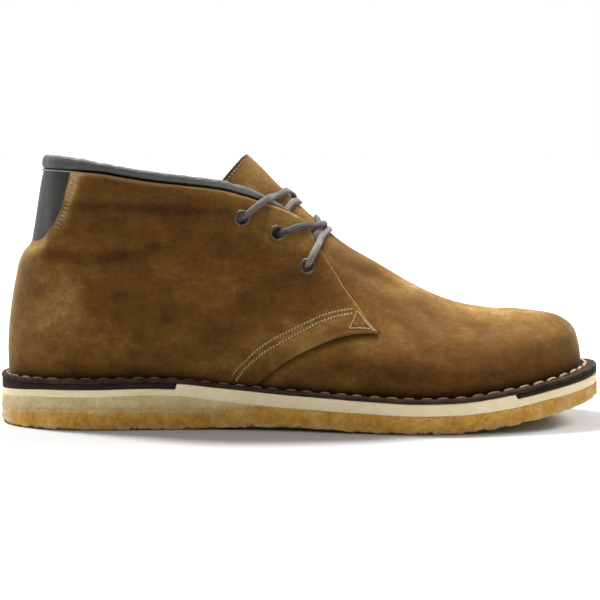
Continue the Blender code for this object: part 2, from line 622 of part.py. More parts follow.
def build_tongue():
    across, along = 14, 16
    grid = []
    for i in range(along + 1):
        s = i / along
        row = []
        for j in range(across + 1):
            w = 2 * j / across - 1
            side = -1 if w <= 0 else 1
            x = (TONGUE_TOP + (TONGUE_SIDE - TONGUE_TOP) * abs(w) ** 1.3) * (1 - s) + TONGUE_FOOT * s
            theta = float(theta_of(x))
            edge = edge_height(theta, side) or float(ridge_z(x)) - 1.0
            edge = min(edge, float(surface(theta, 1.96, side)[2]))
            low = float(p_at_height(theta, side, edge - 7.0)[0])
            p = low + (2.0 - low) * (1 - abs(w))
            p_edge = float(p_at_height(theta, side, edge)[0])
            q = surface(theta, p, side) - normal(theta, min(p, 1.97), side) * tongue_sink(x, p, p_edge)
            if j == across // 2:
                q[1] = float(ridge_side(axis_x(theta)))
            row.append(q)
        grid.append(row)
    points = [q for row in grid for q in row]
    n = across + 1
    faces = [(i * n + j, (i + 1) * n + j, (i + 1) * n + j + 1, i * n + j + 1) for i in range(along) for j in range(across)]
    return thick("tongue", points, faces, WALL - 0.4, suede_mat)


build_tongue()


# ---------------------------------------------------------------- heel tab
def build_heel_tab():
    """Leather let into the U notch, its face a little under the suede's."""
    grid, levels = [], 7
    angles = (72, 66, 60, 54, 46, 35, 24, 12, 0)
    for side, order in ((-1, angles), (1, tuple(reversed(angles[:-1])))):
        for a in order:
            theta = theta_at_angle(a, -1) if a else 0.0
            low = float(p_at_height(theta, side, float(notch_z(a + 1.2)) + 0.45)[0])
            high = float(p_at_height(theta, side, edge_height(theta, side) - 0.1)[0])
            ps = np.linspace(low, high, levels + 1)
            grid.append(surface(theta, ps, side) + normal(theta, ps, side) * (OVERLAY - TAB_SINK))
    n = levels + 1
    points = [q for row in grid for q in row]
    faces = [(i * n + j, i * n + j + 1, i * n + n + j + 1, i * n + n + j) for i in range(len(grid) - 1) for j in range(levels)]
    return thick("heel_tab", points, [tuple(reversed(f)) for f in faces], 1.5, grey_mat)


build_heel_tab()


# ---------------------------------------------------------------- collar binding
def tube(name, path, ups, sizes, mat, sides=8, power=1.0):
    """A closed tube along a path, with an up direction and (half width, half height) at each point."""
    path, points, faces = np.asarray(path, float), [], []
    along = np.gradient(path, axis=0)
    along /= np.linalg.norm(along, axis=1, keepdims=True)
    for c, t, u, (w, h) in zip(path, along, ups, sizes):
        u = u - t * np.dot(u, t)
        u /= np.linalg.norm(u)
        v = np.cross(t, u)
        for k in range(sides):
            a = 2 * math.pi * k / sides
            points.append(c + v * w * math.cos(a) + u * h * math.sin(a))
    n = len(path)
    for i in range(n - 1):
        for k in range(sides):
            m = (k + 1) % sides
            faces.append((i * sides + k, i * sides + m, (i + 1) * sides + m, (i + 1) * sides + k))
    faces.append(tuple(reversed(range(sides))))
    faces.append(tuple((n - 1) * sides + k for k in range(sides)))
    return add_object(name, points, faces, mat)


def build_binding():
    """The padded roll along the collar, thinning out at the front of the facings."""
    places = [-6, -9, -13, -18, -24, -31, -39, -48, -58, -69, -81, -93, -104]
    thetas = [float(theta_of(x)) for x in places] + [theta_at_angle(a, -1) for a in (24, 40, 56, 72)][::-1]
    path, ups, sizes = [], [], []
    for side, order in ((-1, thetas + [0.0]), (1, list(reversed(thetas)))):
        for theta in order:
            x = float(x_of(theta))
            p = float(p_at_height(theta, side, edge_height(theta, side))[0])
            here = surface(theta, p, side)
            up = surface(theta, p + 0.01, side) - surface(theta, p - 0.01, side)
            up /= np.linalg.norm(up)
            full = float(np.clip((-4 - x) / 20, 0, 1)) ** 0.7
            back = float(np.clip((-104 - x) / 20, 0, 1))
            half_h = 0.8 + (BINDING_TALL / 2 + 0.7 * back - 0.8) * full
            half_w = 0.8 + (BINDING_WIDE / 2 - 0.8) * full
            path.append(here + up * (half_h + 0.45) + normal(theta, p, side) * (0.1 - 0.6 * full))
            ups.append(up)
            sizes.append((half_w, half_h))
    return tube("collar_binding", path, ups, sizes, grey_mat, 10)


build_binding()


# ---------------------------------------------------------------- eyelets
def eyelet_places(side):
    return [on_section(x, z + (0.6 if side > 0 else 0.0), side) for x, z in zip(EYELETS["x"], EYELETS["z"])]


def build_eyelet(name, theta, p, side):
    """A turned ring lying on the quarter's face, square to it."""
    n = normal(theta, p, side)
    a = np.cross(n, (0, 0, 1.0))
    a /= np.linalg.norm(a)
    b = np.cross(n, a)
    c = surface(theta, p, side) + n * (OVERLAY + GAP)
    r0, r1, h = EYELET_HOLE / 2, EYELET_OUTER / 2, EYELET_TALL
    profile = ((r0, 0), (r1, 0), (r1 - 0.2, h * 0.6), ((r0 + r1) / 2, h), (r0, h * 0.6))
    count, points, faces, m = 14, [], [], len(profile)
    for i in range(count):
        t = 2 * math.pi * i / count
        for r, z in profile:
            points.append(c + (a * math.cos(t) + b * math.sin(t)) * r + n * z)
    for i in range(count):
        k = (i + 1) % count
        for j in range(m):
            l = (j + 1) % m
            faces.append((i * m + j, k * m + j, k * m + l, i * m + l))
    return add_object(name, points, faces, brass_mat)


for side, word in ((-1, "lateral"), (1, "medial")):
    for number, (theta, p) in enumerate(eyelet_places(side), 1):
        build_eyelet(f"eyelet_{word}_{number}", theta, p, side)


# ---------------------------------------------------------------- laces
# Each strand crosses the ridge at one place. Its ends are an eyelet's number on a side ("out" over the quarter's
# face), or the edge of the facing it dives under ("in").
STRANDS = {
    "name":    ("top_over", "top_under", "low_under", "low_over", "bar"),
    "lateral": (("out", 1), ("in", 2), ("in", 3), ("out", 2), ("out", 3)),
    "ridge":   (-5.6, -0.6, 6.2, 10.6, 14.6),
    "medial":  (("in", 2), ("in", 1), ("out", 2), ("out", 3), ("in", 3)),
}


def strand_path(lateral, ridge_x, medial):
    """Centre line of one strand: out from one eyelet, over the tongue's ridge and down the other side."""
    ends = []
    for side, (way, number) in ((-1, lateral), (1, medial)):
        theta, p = eyelet_places(side)[number - 1]
        ends.append((float(x_of(theta)), side * (2 - p), way))
    points, ups = [], []
    for e, (x1, q1, way) in enumerate(ends):
        side = -1 if e == 0 else 1
        steps = np.linspace(0, 1, 9)
        run = []
        for s in steps:
            x, q = ridge_x + (x1 - ridge_x) * s, q1 * s
            p = 2 - abs(q)
            theta = float(theta_of(x))
            base = surface(theta, p, side)
            n = normal(theta, min(p, 1.97), side)
            if way == "out":
                lift = 2.5 + 1.6 * min(s / 0.35, 1)
            else:
                lift = 2.5 - 0.1 * min(s / 0.35, 1)
            run.append((s, base + n * lift, n, base))
        target = run[-1][3]
        kept = []
        for s, q, n, base in run:
            if way == "out" and np.linalg.norm(base - target) < EYELET_OUTER / 2 + LACE_WIDE / 2 + 0.4:
                break
            if way == "in":
                edge = edge_height(float(theta_of(ridge_x + (x1 - ridge_x) * s)), side)
                if edge is not None and base[2] < edge + 3.6 and s > 0.01:
                    break
            kept.append((q, n))
        if e == 0:
            kept = kept[::-1]
            points += [k[0] for k in kept]
            ups += [k[1] for k in kept]
        else:
            points += [k[0] for k in kept[1:]]
            ups += [k[1] for k in kept[1:]]
    return points, ups


def build_laces():
    made = {}
    for name, lateral, ridge_x, medial in zip(*STRANDS.values()):
        path, ups = strand_path(lateral, ridge_x, medial)
        made[name] = tube("strand_" + name, path, ups, [(LACE_WIDE / 2, LACE_WIDE / 2)] * len(path), lace_mat, 8)
    for keep, join, title in (("top_over", "top_under", "lace_crossing_top"), ("low_over", "low_under", "lace_crossing_low")):
        cutter = made[join]
        cutter.hide_render = True
        cutter.display_type = "WIRE"
        union = made[keep].modifiers.new("join", "BOOLEAN")
        union.operation = "UNION"
        union.object = cutter
        made[keep].name = title
    made["bar"].name = "lace_bar"


build_laces()
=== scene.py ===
"""Looks of a suede chukka boot, right foot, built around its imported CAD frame.

The boot's own form functions are repeated here, so that every visible skin, seam, stitch and lace lies on the
same last as the CAD solids. Tables are in millimetres, one row for each section along the shoe; meshes are in
metres. +X is the toe, -Y the outer (lateral) side, +Z up.
"""

import math

import bpy
import numpy as np
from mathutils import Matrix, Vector, geometry, kdtree


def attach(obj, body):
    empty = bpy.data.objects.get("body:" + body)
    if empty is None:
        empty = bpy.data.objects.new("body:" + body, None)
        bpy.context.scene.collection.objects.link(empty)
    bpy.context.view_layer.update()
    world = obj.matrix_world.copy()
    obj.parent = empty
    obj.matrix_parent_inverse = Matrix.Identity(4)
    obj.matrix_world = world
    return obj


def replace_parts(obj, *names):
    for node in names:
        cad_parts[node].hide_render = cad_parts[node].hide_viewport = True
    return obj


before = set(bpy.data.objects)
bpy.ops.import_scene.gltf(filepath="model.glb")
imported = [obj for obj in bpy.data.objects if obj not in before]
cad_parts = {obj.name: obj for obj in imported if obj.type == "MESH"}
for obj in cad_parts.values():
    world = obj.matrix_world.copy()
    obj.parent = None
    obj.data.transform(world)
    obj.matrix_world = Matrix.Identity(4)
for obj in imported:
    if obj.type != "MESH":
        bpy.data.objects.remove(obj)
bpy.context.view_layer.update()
MM = 0.001

# ---------------------------------------------------------------- sizes, mm
LENGTH = 300.0
HALF = LENGTH / 2
GAP = 0.3
WALL = 2.0
OVERLAY = 1.8
BINDING_WIDE = 4.6
BINDING_TALL = 5.4
LACE_WIDE = 3.3
LACE_THICK = 2.3
EYELET_OUTER = 8.5
EYELET_HOLE = 5.4
HEEL_INSERT_END = -60.5
TOE_INSERT_END = 105.2
WEDGE_END = -22.0
FAN_HEEL = -105.0
FAN_TOE = 80.0
RIDGE_END = 118.0
TAB_SPREAD = 75.0

OUTLINE = {
    "x":       (-150, -139.5, -115, -88, -60, -30, 0, 28, 52, 75, 98, 118, 134, 144.5, 150),
    "lateral": (0, 24.8, 37.0, 37.8, 36.6, 37.4, 42.6, 49.6, 53.6, 54.0, 50.6, 43.6, 33.4, 21.0, 0),
    "medial":  (0, 24.8, 36.4, 36.0, 33.2, 31.4, 34.6, 41.6, 48.6, 50.8, 47.4, 40.4, 31.2, 20.0, 0),
}
CENTRE = {"x": (-150, -60, 0, 60, 100, 150), "y": (-0.6, -1.0, -0.2, 1.4, 4.0, 7.4)}
LAYERS = {
    "x":      (-150, -140, -125, -100, -75, -60, -42, -28, -10, 12, 36, 57, 75, 90, 104, 116, 127, 138, 150),
    "ground": (0.9, 0.2, 0.0, 0.0, 0.0, 0.0, 0.5, 1.1, 1.4, 1.1, 0.1, 0.0, 0.0, 1.2, 3.2, 5.2, 7.4, 9.8, 12.6),
    "amber":  (7.0, 8.8, 10.2, 10.4, 10.2, 10.0, 10.2, 11.2, 11.5, 10.5, 9.6, 8.9, 9.1, 10.2, 11.9, 13.9, 15.8, 17.6, 19.8),
    "crepe":  (13.8, 15.0, 16.0, 16.2, 17.0, 16.6, 14.4, 12.9, 11.5, 10.5, 9.6, 8.9, 9.1, 10.2, 11.9, 13.9, 15.8, 17.6, 19.8),
    "thin":   (17.4, 18.7, 19.7, 19.9, 20.4, 19.9, 17.6, 16.2, 15.0, 14.0, 13.1, 12.4, 12.6, 14.0, 16.0, 18.0, 20.1, 22.1, 24.2),
    "filler": (21.8, 22.2, 22.6, 22.7, 23.3, 22.8, 20.9, 19.6, 18.0, 16.8, 15.6, 14.8, 15.1, 16.4, 18.3, 20.1, 22.1, 24.2, 26.4),
    "welt":   (24.6, 24.9, 25.0, 25.1, 25.6, 25.1, 23.2, 21.9, 20.2, 19.0, 17.8, 17.0, 17.3, 18.6, 20.5, 22.2, 24.2, 26.3, 28.4),
}
FORM = {
    "x":        (-150, -128, -105, -80, -50, -27, -5, 8, 20, 37, 60, 85, 105, 125, 150),
    "inset_l":  (5.1, 5.7, 6.2, 6.0, 5.0, 5.0, 5.4, 5.8, 6.2, 6.4, 6.6, 6.8, 7.0, 7.4, 7.6),
    "inset_m":  (5.1, 5.7, 6.2, 6.2, 5.6, 5.4, 5.6, 5.8, 6.2, 6.4, 6.6, 6.8, 7.0, 7.4, 7.6),
    "belly_l":  (0.2, 0.9, 1.8, 2.2, 2.9, 3.4, 3.4, 3.1, 2.8, 2.4, 2.0, 1.5, 0.8, 0.2, -0.6),
    "belly_m":  (0.2, 0.9, 1.8, 2.0, 2.4, 2.8, 2.9, 2.8, 2.6, 2.3, 2.0, 1.5, 0.8, 0.2, -0.6),
    "belly_h":  (22, 22, 22, 21, 19, 17, 15, 14, 13.5, 13, 12.5, 12, 12, 12, 12),
    "mid_l":    (-5.3, -3.7, -1.9, -1.7, -2.1, -4.2, -7.0, -7.6, -7.2, -6.4, -5.0, -4.0, -3.4, -3.2, -3.6),
    "mid_m":    (-5.3, -3.7, -1.9, -1.5, -1.0, -2.4, -4.4, -5.2, -5.4, -5.0, -4.2, -3.6, -3.2, -3.2, -3.6),
    "mid_z":    (80, 80, 79, 76, 70, 65, 60, 56.5, 53, 47, 41.5, 38.5, 39.5, 42.5, 46.5),
    "top_l":    (24.6, 26.6, 28.4, 30.4, 30.0, 26.6, 22.2, 21.4, 22.0, 23.6, 25.6, 26.2, 23.6, 19.4, 15.0),
    "top_m":    (24.6, 26.6, 28.4, 30.0, 29.6, 26.4, 21.6, 20.6, 21.0, 22.2, 24.0, 24.6, 22.6, 19.0, 15.0),
    "top_zl":   (125.8, 125.6, 124.8, 121.6, 117.0, 112.0, 97.0, 86.5, 77.0, 66.5, 55.6, 49.2, 48.6, 49.6, 51.2),
    "top_zm":   (125.8, 125.8, 125.4, 122.6, 118.2, 113.2, 98.6, 88.4, 79.2, 68.8, 58.0, 51.2, 50.0, 50.2, 51.2),
    "crown_w":  (22.0, 25.0, 27.6, 29.6, 20.0, 0.0, 0, 0, 0, 0, 0, 0, 0, 0, 0),
    "crown_z":  (146, 145, 144, 141, 137.4, 134.2, 0, 0, 0, 0, 0, 0, 0, 0, 0),
    "lean":     (80, 82, 84, 84, 45, 0, 0, 0, 0, 0, 0, 0, 0, 0, 0),
}
RIDGE = {
    "x": (-50, -27, -21, -15, 0, 12, 24, 37, 50, 63, 76, 88, 98, 108, 118, 126),
    "z": (156, 134.6, 129.4, 123.3, 108.4, 97.6, 87.8, 79.8, 71.8, 64.8, 59.5, 56.6, 55.6, 55.2, 54.6, 53.6),
}
RIDGE_SIDE = {"x": (-150, -60, -27, 20, 60, 100, 150), "y": (-0.8, -0.6, 0.4, 2.8, 4.6, 5.8, 6.6)}
COLLAR = {
    "x": (-150, -128, -112, -98, -85, -73, -55, -38, -29, -20, -12, -4),
    "z": (125.8, 125.8, 125.3, 124.4, 122.3, 120.4, 118.2, 115.8, 113.2, 110.0, 107.0, 103.2),
}
# Front edge of the quarters, from the collar's end down to their tip on the vamp.
FACING = {
    "x": (-4, 0.5, 4.4, 6.3, 9.8, 13.3, 16.8, 19.3, 23.3, 27.3, 30.7, 33.6, 36.4),
    "z": (103.2, 100.3, 92.9, 89.0, 84.6, 78.9, 73.7, 69.4, 64.1, 58.9, 53.9, 50.2, 47.7),
}
# Lower edge of the quarters, lapped over the vamp.
SEAM = {
    "x": (-24.4, -22.6, -19.2, -16.3, -13.0, -8.3, -3.5, 1.2, 6.1, 10.9, 15.8, 20.7, 25.7, 30.7, 36.4),
    "z": (20.4, 22.6, 25.6, 28.3, 30.9, 34.2, 37.0, 39.4, 41.5, 43.5, 45.3, 46.6, 47.4, 47.8, 47.7),
}
NOTCH = {"angle": (0, 20, 38, 50, 58, 63.5, 68.5, 72.2, 75), "z": (90.4, 90.7, 92.4, 95.0, 98.4, 103.4, 110.0, 117.5, 125.4)}
EYELETS = {"x": (-29.0, -12.4, 2.4), "z": (103.0, 95.3, 78.9)}

# How far the back of the heel draws in where the tab is let in, by height.
HEEL_TUCK = {"z": (0, 77, 83, 88, 92, 97, 108, 118, 160), "x": (0, 0, 0.9, 2.0, 2.6, 2.6, 1.9, 1.3, 1.3)}

# Two rows of stitches along the lapped edge, the closed tack at the quarters' tip.
ROW_LOW = {
    "x": (-31.6, -29.6, -27.2, -23.8, -20.1, -15.3, -10.6, -5.8, -1.0, 3.8, 8.7, 13.7, 18.5, 22.4, 26.0),
    "z": (24.4, 27.4, 30.6, 33.9, 36.8, 39.8, 42.3, 44.8, 47.2, 49.7, 52.0, 53.9, 55.2, 55.8, 56.4),
}
ROW_HIGH = {
    "x": (-33.6, -32.3, -29.4, -26.2, -22.9, -19.2, -15.4, -10.6, -5.8, -1.0, 3.9, 8.8, 13.7, 18.5, 23.4, 26.4),
    "z": (26.2, 28.6, 31.9, 35.0, 38.1, 40.9, 43.3, 45.9, 48.0, 50.2, 52.6, 54.8, 56.5, 57.5, 58.1, 58.2),
}
TACK = {
    "x": (26.9, 30.4, 34.4, 28.0, 22.8, 24.6, 26.9),
    "z": (57.2, 52.6, 48.9, 49.3, 49.1, 52.2, 57.2),
}


# ---------------------------------------------------------------- the boot's form
def natural(xs, ys):
    xs, ys = np.asarray(xs, float), np.asarray(ys, float)
    n, h = len(xs), np.diff(xs)
    a, b = np.zeros((n, n)), np.zeros(n)
    a[0, 0] = a[-1, -1] = 1
    for i in range(1, n - 1):
        a[i, i - 1 : i + 2] = h[i - 1], 2 * (h[i - 1] + h[i]), h[i]
        b[i] = 6 * ((ys[i + 1] - ys[i]) / h[i] - (ys[i] - ys[i - 1]) / h[i - 1])
    bend = np.linalg.solve(a, b)

    def at(x):
        x = np.clip(np.asarray(x, float), xs[0], xs[-1])
        i = np.clip(np.searchsorted(xs, x, side="right") - 1, 0, n - 2)
        u, v = xs[i + 1] - x, x - xs[i]
        return (
            (bend[i] * u**3 + bend[i + 1] * v**3) / (6 * h[i])
            + (ys[i] / h[i] - bend[i] * h[i] / 6) * u
            + (ys[i + 1] / h[i] - bend[i + 1] * h[i] / 6) * v
        )

    return at


def gentle(xs, ys):
    xs, ys = np.asarray(xs, float), np.asarray(ys, float)
    h, step = np.diff(xs), np.diff(ys) / np.diff(xs)
    slope = np.zeros(len(xs))
    for i in range(1, len(xs) - 1):
        if step[i - 1] * step[i] > 0:
            w1, w2 = 2 * h[i] + h[i - 1], h[i] + 2 * h[i - 1]
            slope[i] = (w1 + w2) / (w1 / step[i - 1] + w2 / step[i])
    slope[0], slope[-1] = step[0], step[-1]

    def at(x):
        x = np.clip(np.asarray(x, float), xs[0], xs[-1])
        i = np.clip(np.searchsorted(xs, x, side="right") - 1, 0, len(xs) - 2)
        t = (x - xs[i]) / h[i]
        return (
            ys[i] * (1 + 2 * t) * (1 - t) ** 2 + slope[i] * h[i] * t * (1 - t) ** 2
            + ys[i + 1] * t * t * (3 - 2 * t) + slope[i + 1] * h[i] * t * t * (t - 1)
        )

    return at


def x_of(theta):
    return -HALF * np.cos(theta)


def theta_of(x):
    return np.arccos(np.clip(-np.asarray(x, float) / HALF, -1, 1))


centre = natural(CENTRE["x"], CENTRE["y"])
ridge_side = natural(RIDGE_SIDE["x"], RIDGE_SIDE["y"])
ridge_z = natural(RIDGE["x"], RIDGE["z"])
layer = {k: gentle(LAYERS["x"], v) for k, v in LAYERS.items() if k != "x"}
width = {k: natural(theta_of(OUTLINE["x"]), OUTLINE[k]) for k in ("lateral", "medial")}
form = {k: natural(FORM["x"], v) for k, v in FORM.items() if k not in ("x", "crown_w", "crown_z", "lean")}
crown_w = gentle(FORM["x"], FORM["crown_w"])
crown_z = gentle(FORM["x"][:6], FORM["crown_z"][:6])
lean = gentle(FORM["x"], FORM["lean"])
collar_z = gentle(COLLAR["x"], COLLAR["z"])
facing_z = gentle(FACING["x"], FACING["z"])
seam_z = gentle(SEAM["x"], SEAM["z"])
notch_z = gentle(NOTCH["angle"], NOTCH["z"])
heel_tuck = gentle(HEEL_TUCK["z"], HEEL_TUCK["x"])


def outline(theta, side, inset=0.0):
    theta = np.asarray(theta, float)
    key, other = ("lateral", "medial") if side < 0 else ("medial", "lateral")

    def edge(t):
        t_in = np.abs(t)
        flip = np.sign(np.where(t == 0, 1, t)) * np.where(t_in > math.pi, -1, 1)
        t_in = np.where(t_in > math.pi, 2 * math.pi - t_in, t_in)
        w = np.where(flip > 0, width[key](t_in), -width[other](t_in))
        x = x_of(t_in)
        return np.stack([x, centre(x) + side * w], -1)

    step = 0.004
    along = edge(theta + step) - edge(theta - step)
    along /= np.linalg.norm(along, axis=-1, keepdims=True)
    inward = np.stack([side * along[..., 1], -side * along[..., 0]], -1)
    return edge(theta) + inward * np.asarray(inset, float)[..., None]


def axis_x(theta):
    x = x_of(theta)
    soft = 6.0
    x = FAN_HEEL + soft * np.logaddexp(0, (x - FAN_HEEL) / soft)
    s = np.clip((x - FAN_TOE) / (HALF - FAN_TOE), 0, 1)
    ahead = (RIDGE_END - FAN_TOE) * (s * (HALF - FAN_TOE) / (RIDGE_END - FAN_TOE) * (1 - s) ** 1.5 + s * s * (3 - 2 * s) * (1 - (1 - s) ** 1.5))
    return np.where(x < FAN_TOE, x, FAN_TOE + ahead)


def controls(theta, side):
    theta = np.atleast_1d(np.asarray(theta, float))
    x, s = x_of(theta), ("l" if side < 0 else "m")
    foot = outline(theta, side, form["inset_" + s](x))
    ax = axis_x(theta)
    axis = np.stack([ax, ridge_side(ax)], -1)
    out = foot - axis
    reach = np.linalg.norm(out, axis=-1)
    out /= reach[:, None]
    base = layer["filler"](foot[:, 0]) + GAP
    c = np.zeros((len(theta), 5, 2))
    c[:, 0] = np.stack([reach, base], -1)
    c[:, 1] = np.stack([reach + form["belly_" + s](x), base + form["belly_h"](x)], -1)
    c[:, 2] = np.stack([reach + form["mid_" + s](x), form["mid_z"](x)], -1)
    c[:, 3] = np.stack([form["top_" + s](x), form["top_z" + s](x)], -1)
    closed = np.clip((x + 50) / 23, 0, 1)
    closed = closed * closed * (3 - 2 * closed)
    c[:, 4, 0] = crown_w(x)
    c[:, 4, 1] = crown_z(x) * (1 - closed) + ridge_z(ax) * closed
    slope = (ridge_z(ax + 0.5) - ridge_z(ax - 0.5)) * closed
    angle = np.radians(lean(x))
    end = np.stack([-np.cos(angle), np.sin(angle) - slope * out[:, 0]], -1)
    end /= np.linalg.norm(end, axis=-1, keepdims=True)
    return axis, out, c, end


def surface(theta, p, side):
    """Points of the foot form: p 0 to 1 from feather line to collar or shoulder, 1 to 2 on to the ridge."""
    theta, p = np.broadcast_arrays(np.asarray(theta, float), np.asarray(p, float))
    shape = theta.shape
    theta, p = theta.ravel(), p.ravel()
    axis, out, c, end = controls(theta, side)
    chord = np.linalg.norm(np.diff(c, axis=1), axis=-1)
    lead = (c[:, 1:] - c[:, :-1]) / chord[..., None]
    tangent = np.zeros_like(c)
    tangent[:, 0] = (0.06, 1.0)
    for i in (1, 2, 3):
        a, b = chord[:, i - 1, None], chord[:, i, None]
        tangent[:, i] = (lead[:, i - 1] * b + lead[:, i] * a) / (a + b)
    tangent[:, 4] = end
    lower = chord[:, :3].sum(1)
    run = np.where(p <= 1, p * lower, lower + (p - 1) * chord[:, 3])
    knots = np.concatenate([np.zeros((len(p), 1)), np.cumsum(chord, 1)], 1)
    seg = np.clip((run[:, None] >= knots[:, 1:4]).sum(1), 0, 3)
    k = np.arange(len(p))
    d = chord[k, seg]
    t = ((run - knots[k, seg]) / d)[:, None]
    q = (
        c[k, seg] * (1 + 2 * t) * (1 - t) ** 2 + tangent[k, seg] * d[:, None] * t * (1 - t) ** 2
        + c[k, seg + 1] * t * t * (3 - 2 * t) + tangent[k, seg + 1] * d[:, None] * t * t * (t - 1)
    )
    plan = axis + out * q[:, :1]
    back = np.clip((-124 - x_of(theta)) / 16, 0, 1)
    plan[:, 0] += back * back * (3 - 2 * back) * heel_tuck(q[:, 1])
    return np.concatenate([plan, q[:, 1:]], -1).reshape(*shape, 3)


def normal(theta, p, side):
    theta, p = np.broadcast_arrays(np.asarray(theta, float), np.asarray(p, float))
    dt, dp = 0.01, 0.01
    t0, t1 = np.clip(theta - dt, 0.004, math.pi - 0.02), np.clip(theta + dt, 0.024, math.pi - 0.004)
    p0, p1 = np.clip(p - dp, 0, 2), np.clip(p + dp, 0, 2)
    a = surface(t1, p, side) - surface(t0, p, side)
    b = surface(theta, p1, side) - surface(theta, p0, side)
    n = np.cross(a, b) * (1 if side < 0 else -1)
    return n / np.linalg.norm(n, axis=-1, keepdims=True)


def p_at_height(theta, side, z, low=0.0, high=1.98):
    theta = np.atleast_1d(np.asarray(theta, float))
    z = np.broadcast_to(np.asarray(z, float), theta.shape)
    lo, hi = np.full(theta.shape, low), np.full(theta.shape, high)
    for _ in range(30):
        m = (lo + hi) / 2
        under = surface(theta, m, side)[..., 2] < z
        lo, hi = np.where(under, m, lo), np.where(under, hi, m)
    return (lo + hi) / 2


def theta_at_angle(angle):
    """The section that leaves the heel's centre at an angle from the back."""
    lo, hi = 0.0, math.pi / 2
    for _ in range(40):
        mid = (lo + hi) / 2
        out = controls(mid, -1)[1]
        turn = math.degrees(math.atan2(abs(float(out[0, 1])), -float(out[0, 0])))
        lo, hi = (mid, hi) if turn < angle else (lo, mid)
    return (lo + hi) / 2


# ---------------------------------------------------------------- smooth noise from whole-number hashes
def noise(points, cell, seed):
    p = np.asarray(points, float) / np.asarray(cell, float)
    i = np.floor(p).astype(np.int64)
    f = p - i
    f = f * f * (3 - 2 * f)
    total = np.zeros(len(p))
    for dx in (0, 1):
        for dy in (0, 1):
            for dz in (0, 1):
                h = ((i[:, 0] + dx) * 374761393 + (i[:, 1] + dy) * 668265263 + (i[:, 2] + dz) * 1442695041 + seed * 1274126177) & 0xFFFFFFFF
                h = ((h ^ (h >> 13)) * 1274126177) & 0xFFFFFFFF
                h = h ^ (h >> 16)
                w = (f[:, 0] if dx else 1 - f[:, 0]) * (f[:, 1] if dy else 1 - f[:, 1]) * (f[:, 2] if dz else 1 - f[:, 2])
                total += w * (h / 0xFFFFFFFF * 2 - 1)
    return total


def clouds(points, cell, seed, octaves=3):
    return sum(noise(points, cell / 2**k, seed + k) / 1.8**k for k in range(octaves))


# ---------------------------------------------------------------- meshes
def make(name, points, faces, mats, index=None, smooth=True, marks=None, uv=None):
    """One object from points in millimetres, with named per-point numbers for its materials."""
    points = np.asarray(points, float) * MM
    mesh = bpy.data.meshes.new(name)
    tri = [f for f in faces]
    mesh.from_pydata(points.tolist(), [], [tuple(int(i) for i in f) for f in tri])
    for mat in mats if isinstance(mats, (list, tuple)) else [mats]:
        mesh.materials.append(mat)
    if index is not None:
        mesh.polygons.foreach_set("material_index", np.asarray(index, np.int32))
    if smooth:
        mesh.shade_smooth()
    for key, values in (marks or {}).items():
        a = mesh.attributes.new(key, "FLOAT", "POINT")
        a.data.foreach_set("value", np.asarray(values, np.float32))
    if uv is not None:
        layer_uv = mesh.uv_layers.new(name="UVMap")
        loops = np.empty(len(mesh.loops), np.int32)
        mesh.loops.foreach_get("vertex_index", loops)
        layer_uv.data.foreach_set("uv", np.asarray(uv, np.float32)[loops].ravel())
    mesh.update()
    obj = bpy.data.objects.new(name, mesh)
    bpy.context.scene.collection.objects.link(obj)
    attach(obj, "root")
    return obj


# Chart of the form: u follows the length of the outline, v the way up (+-102 at the feather, 0 on the ridge).
_theta = np.linspace(0, math.pi, 1500)
_mid = surface(_theta, 0.45, -1)
_run = np.concatenate([[0], np.cumsum(np.linalg.norm(np.diff(_mid, axis=0), axis=1))])
V_LOW, V_HIGH = 72.0, 30.0


def u_of(theta):
    return np.interp(theta, _theta, _run)


def theta_u(u):
    return np.interp(u, _run, _theta)


def v_of(p, side):
    p = np.asarray(p, float)
    v = np.where(p <= 1, V_LOW * p, V_LOW + V_HIGH * (p - 1))
    return side * (V_LOW + V_HIGH - v)


def p_v(v):
    v = V_LOW + V_HIGH - np.abs(v)
    return np.where(v <= V_LOW, v / V_LOW, 1 + (v - V_LOW) / V_HIGH)


def on_form(uv):
    """(base point, outward normal, theta, p) for chart points."""
    theta, p = theta_u(uv[:, 0]), p_v(uv[:, 1])
    base, n = np.zeros((len(uv), 3)), np.zeros((len(uv), 3))
    for side in (-1, 1):
        pick = (uv[:, 1] < 0) if side < 0 else (uv[:, 1] >= 0)
        if pick.any():
            base[pick] = surface(theta[pick], p[pick], side)
            n[pick] = normal(theta[pick], np.minimum(p[pick], 1.995), side)
    # On the planes where the two sides meet, both give one normal.
    edge = (theta > math.pi - 0.03) | (theta < 0.03) | ((p > 1.96) & (x_of(theta) > -27))
    if edge.any():
        t, q = theta[edge], p[edge]
        side = np.where(uv[edge, 1] < 0, -1, 1)
        other = np.where(side[:, None] < 0, normal(t, np.minimum(q, 1.995), 1), normal(t, np.minimum(q, 1.995), -1))
        near = np.maximum.reduce([(t - (math.pi - 0.03)) / 0.03, (0.03 - t) / 0.03, np.where(x_of(t) > -27, (q - 1.96) / 0.04, 0)])
        w = np.clip(near, 0, 1)[:, None] * 0.5
        n[edge] = n[edge] * (1 - w) + other * w
        n[edge] /= np.linalg.norm(n[edge], axis=1, keepdims=True)
    return base, n, theta, p


def line_xz(xs, zs, side, lift=0.0):
    """Chart points of a line given by section place and height."""
    theta = theta_of(xs)
    p = p_at_height(theta, side, np.asarray(zs, float) + lift)
    return np.stack([u_of(theta), v_of(p, side)], -1)


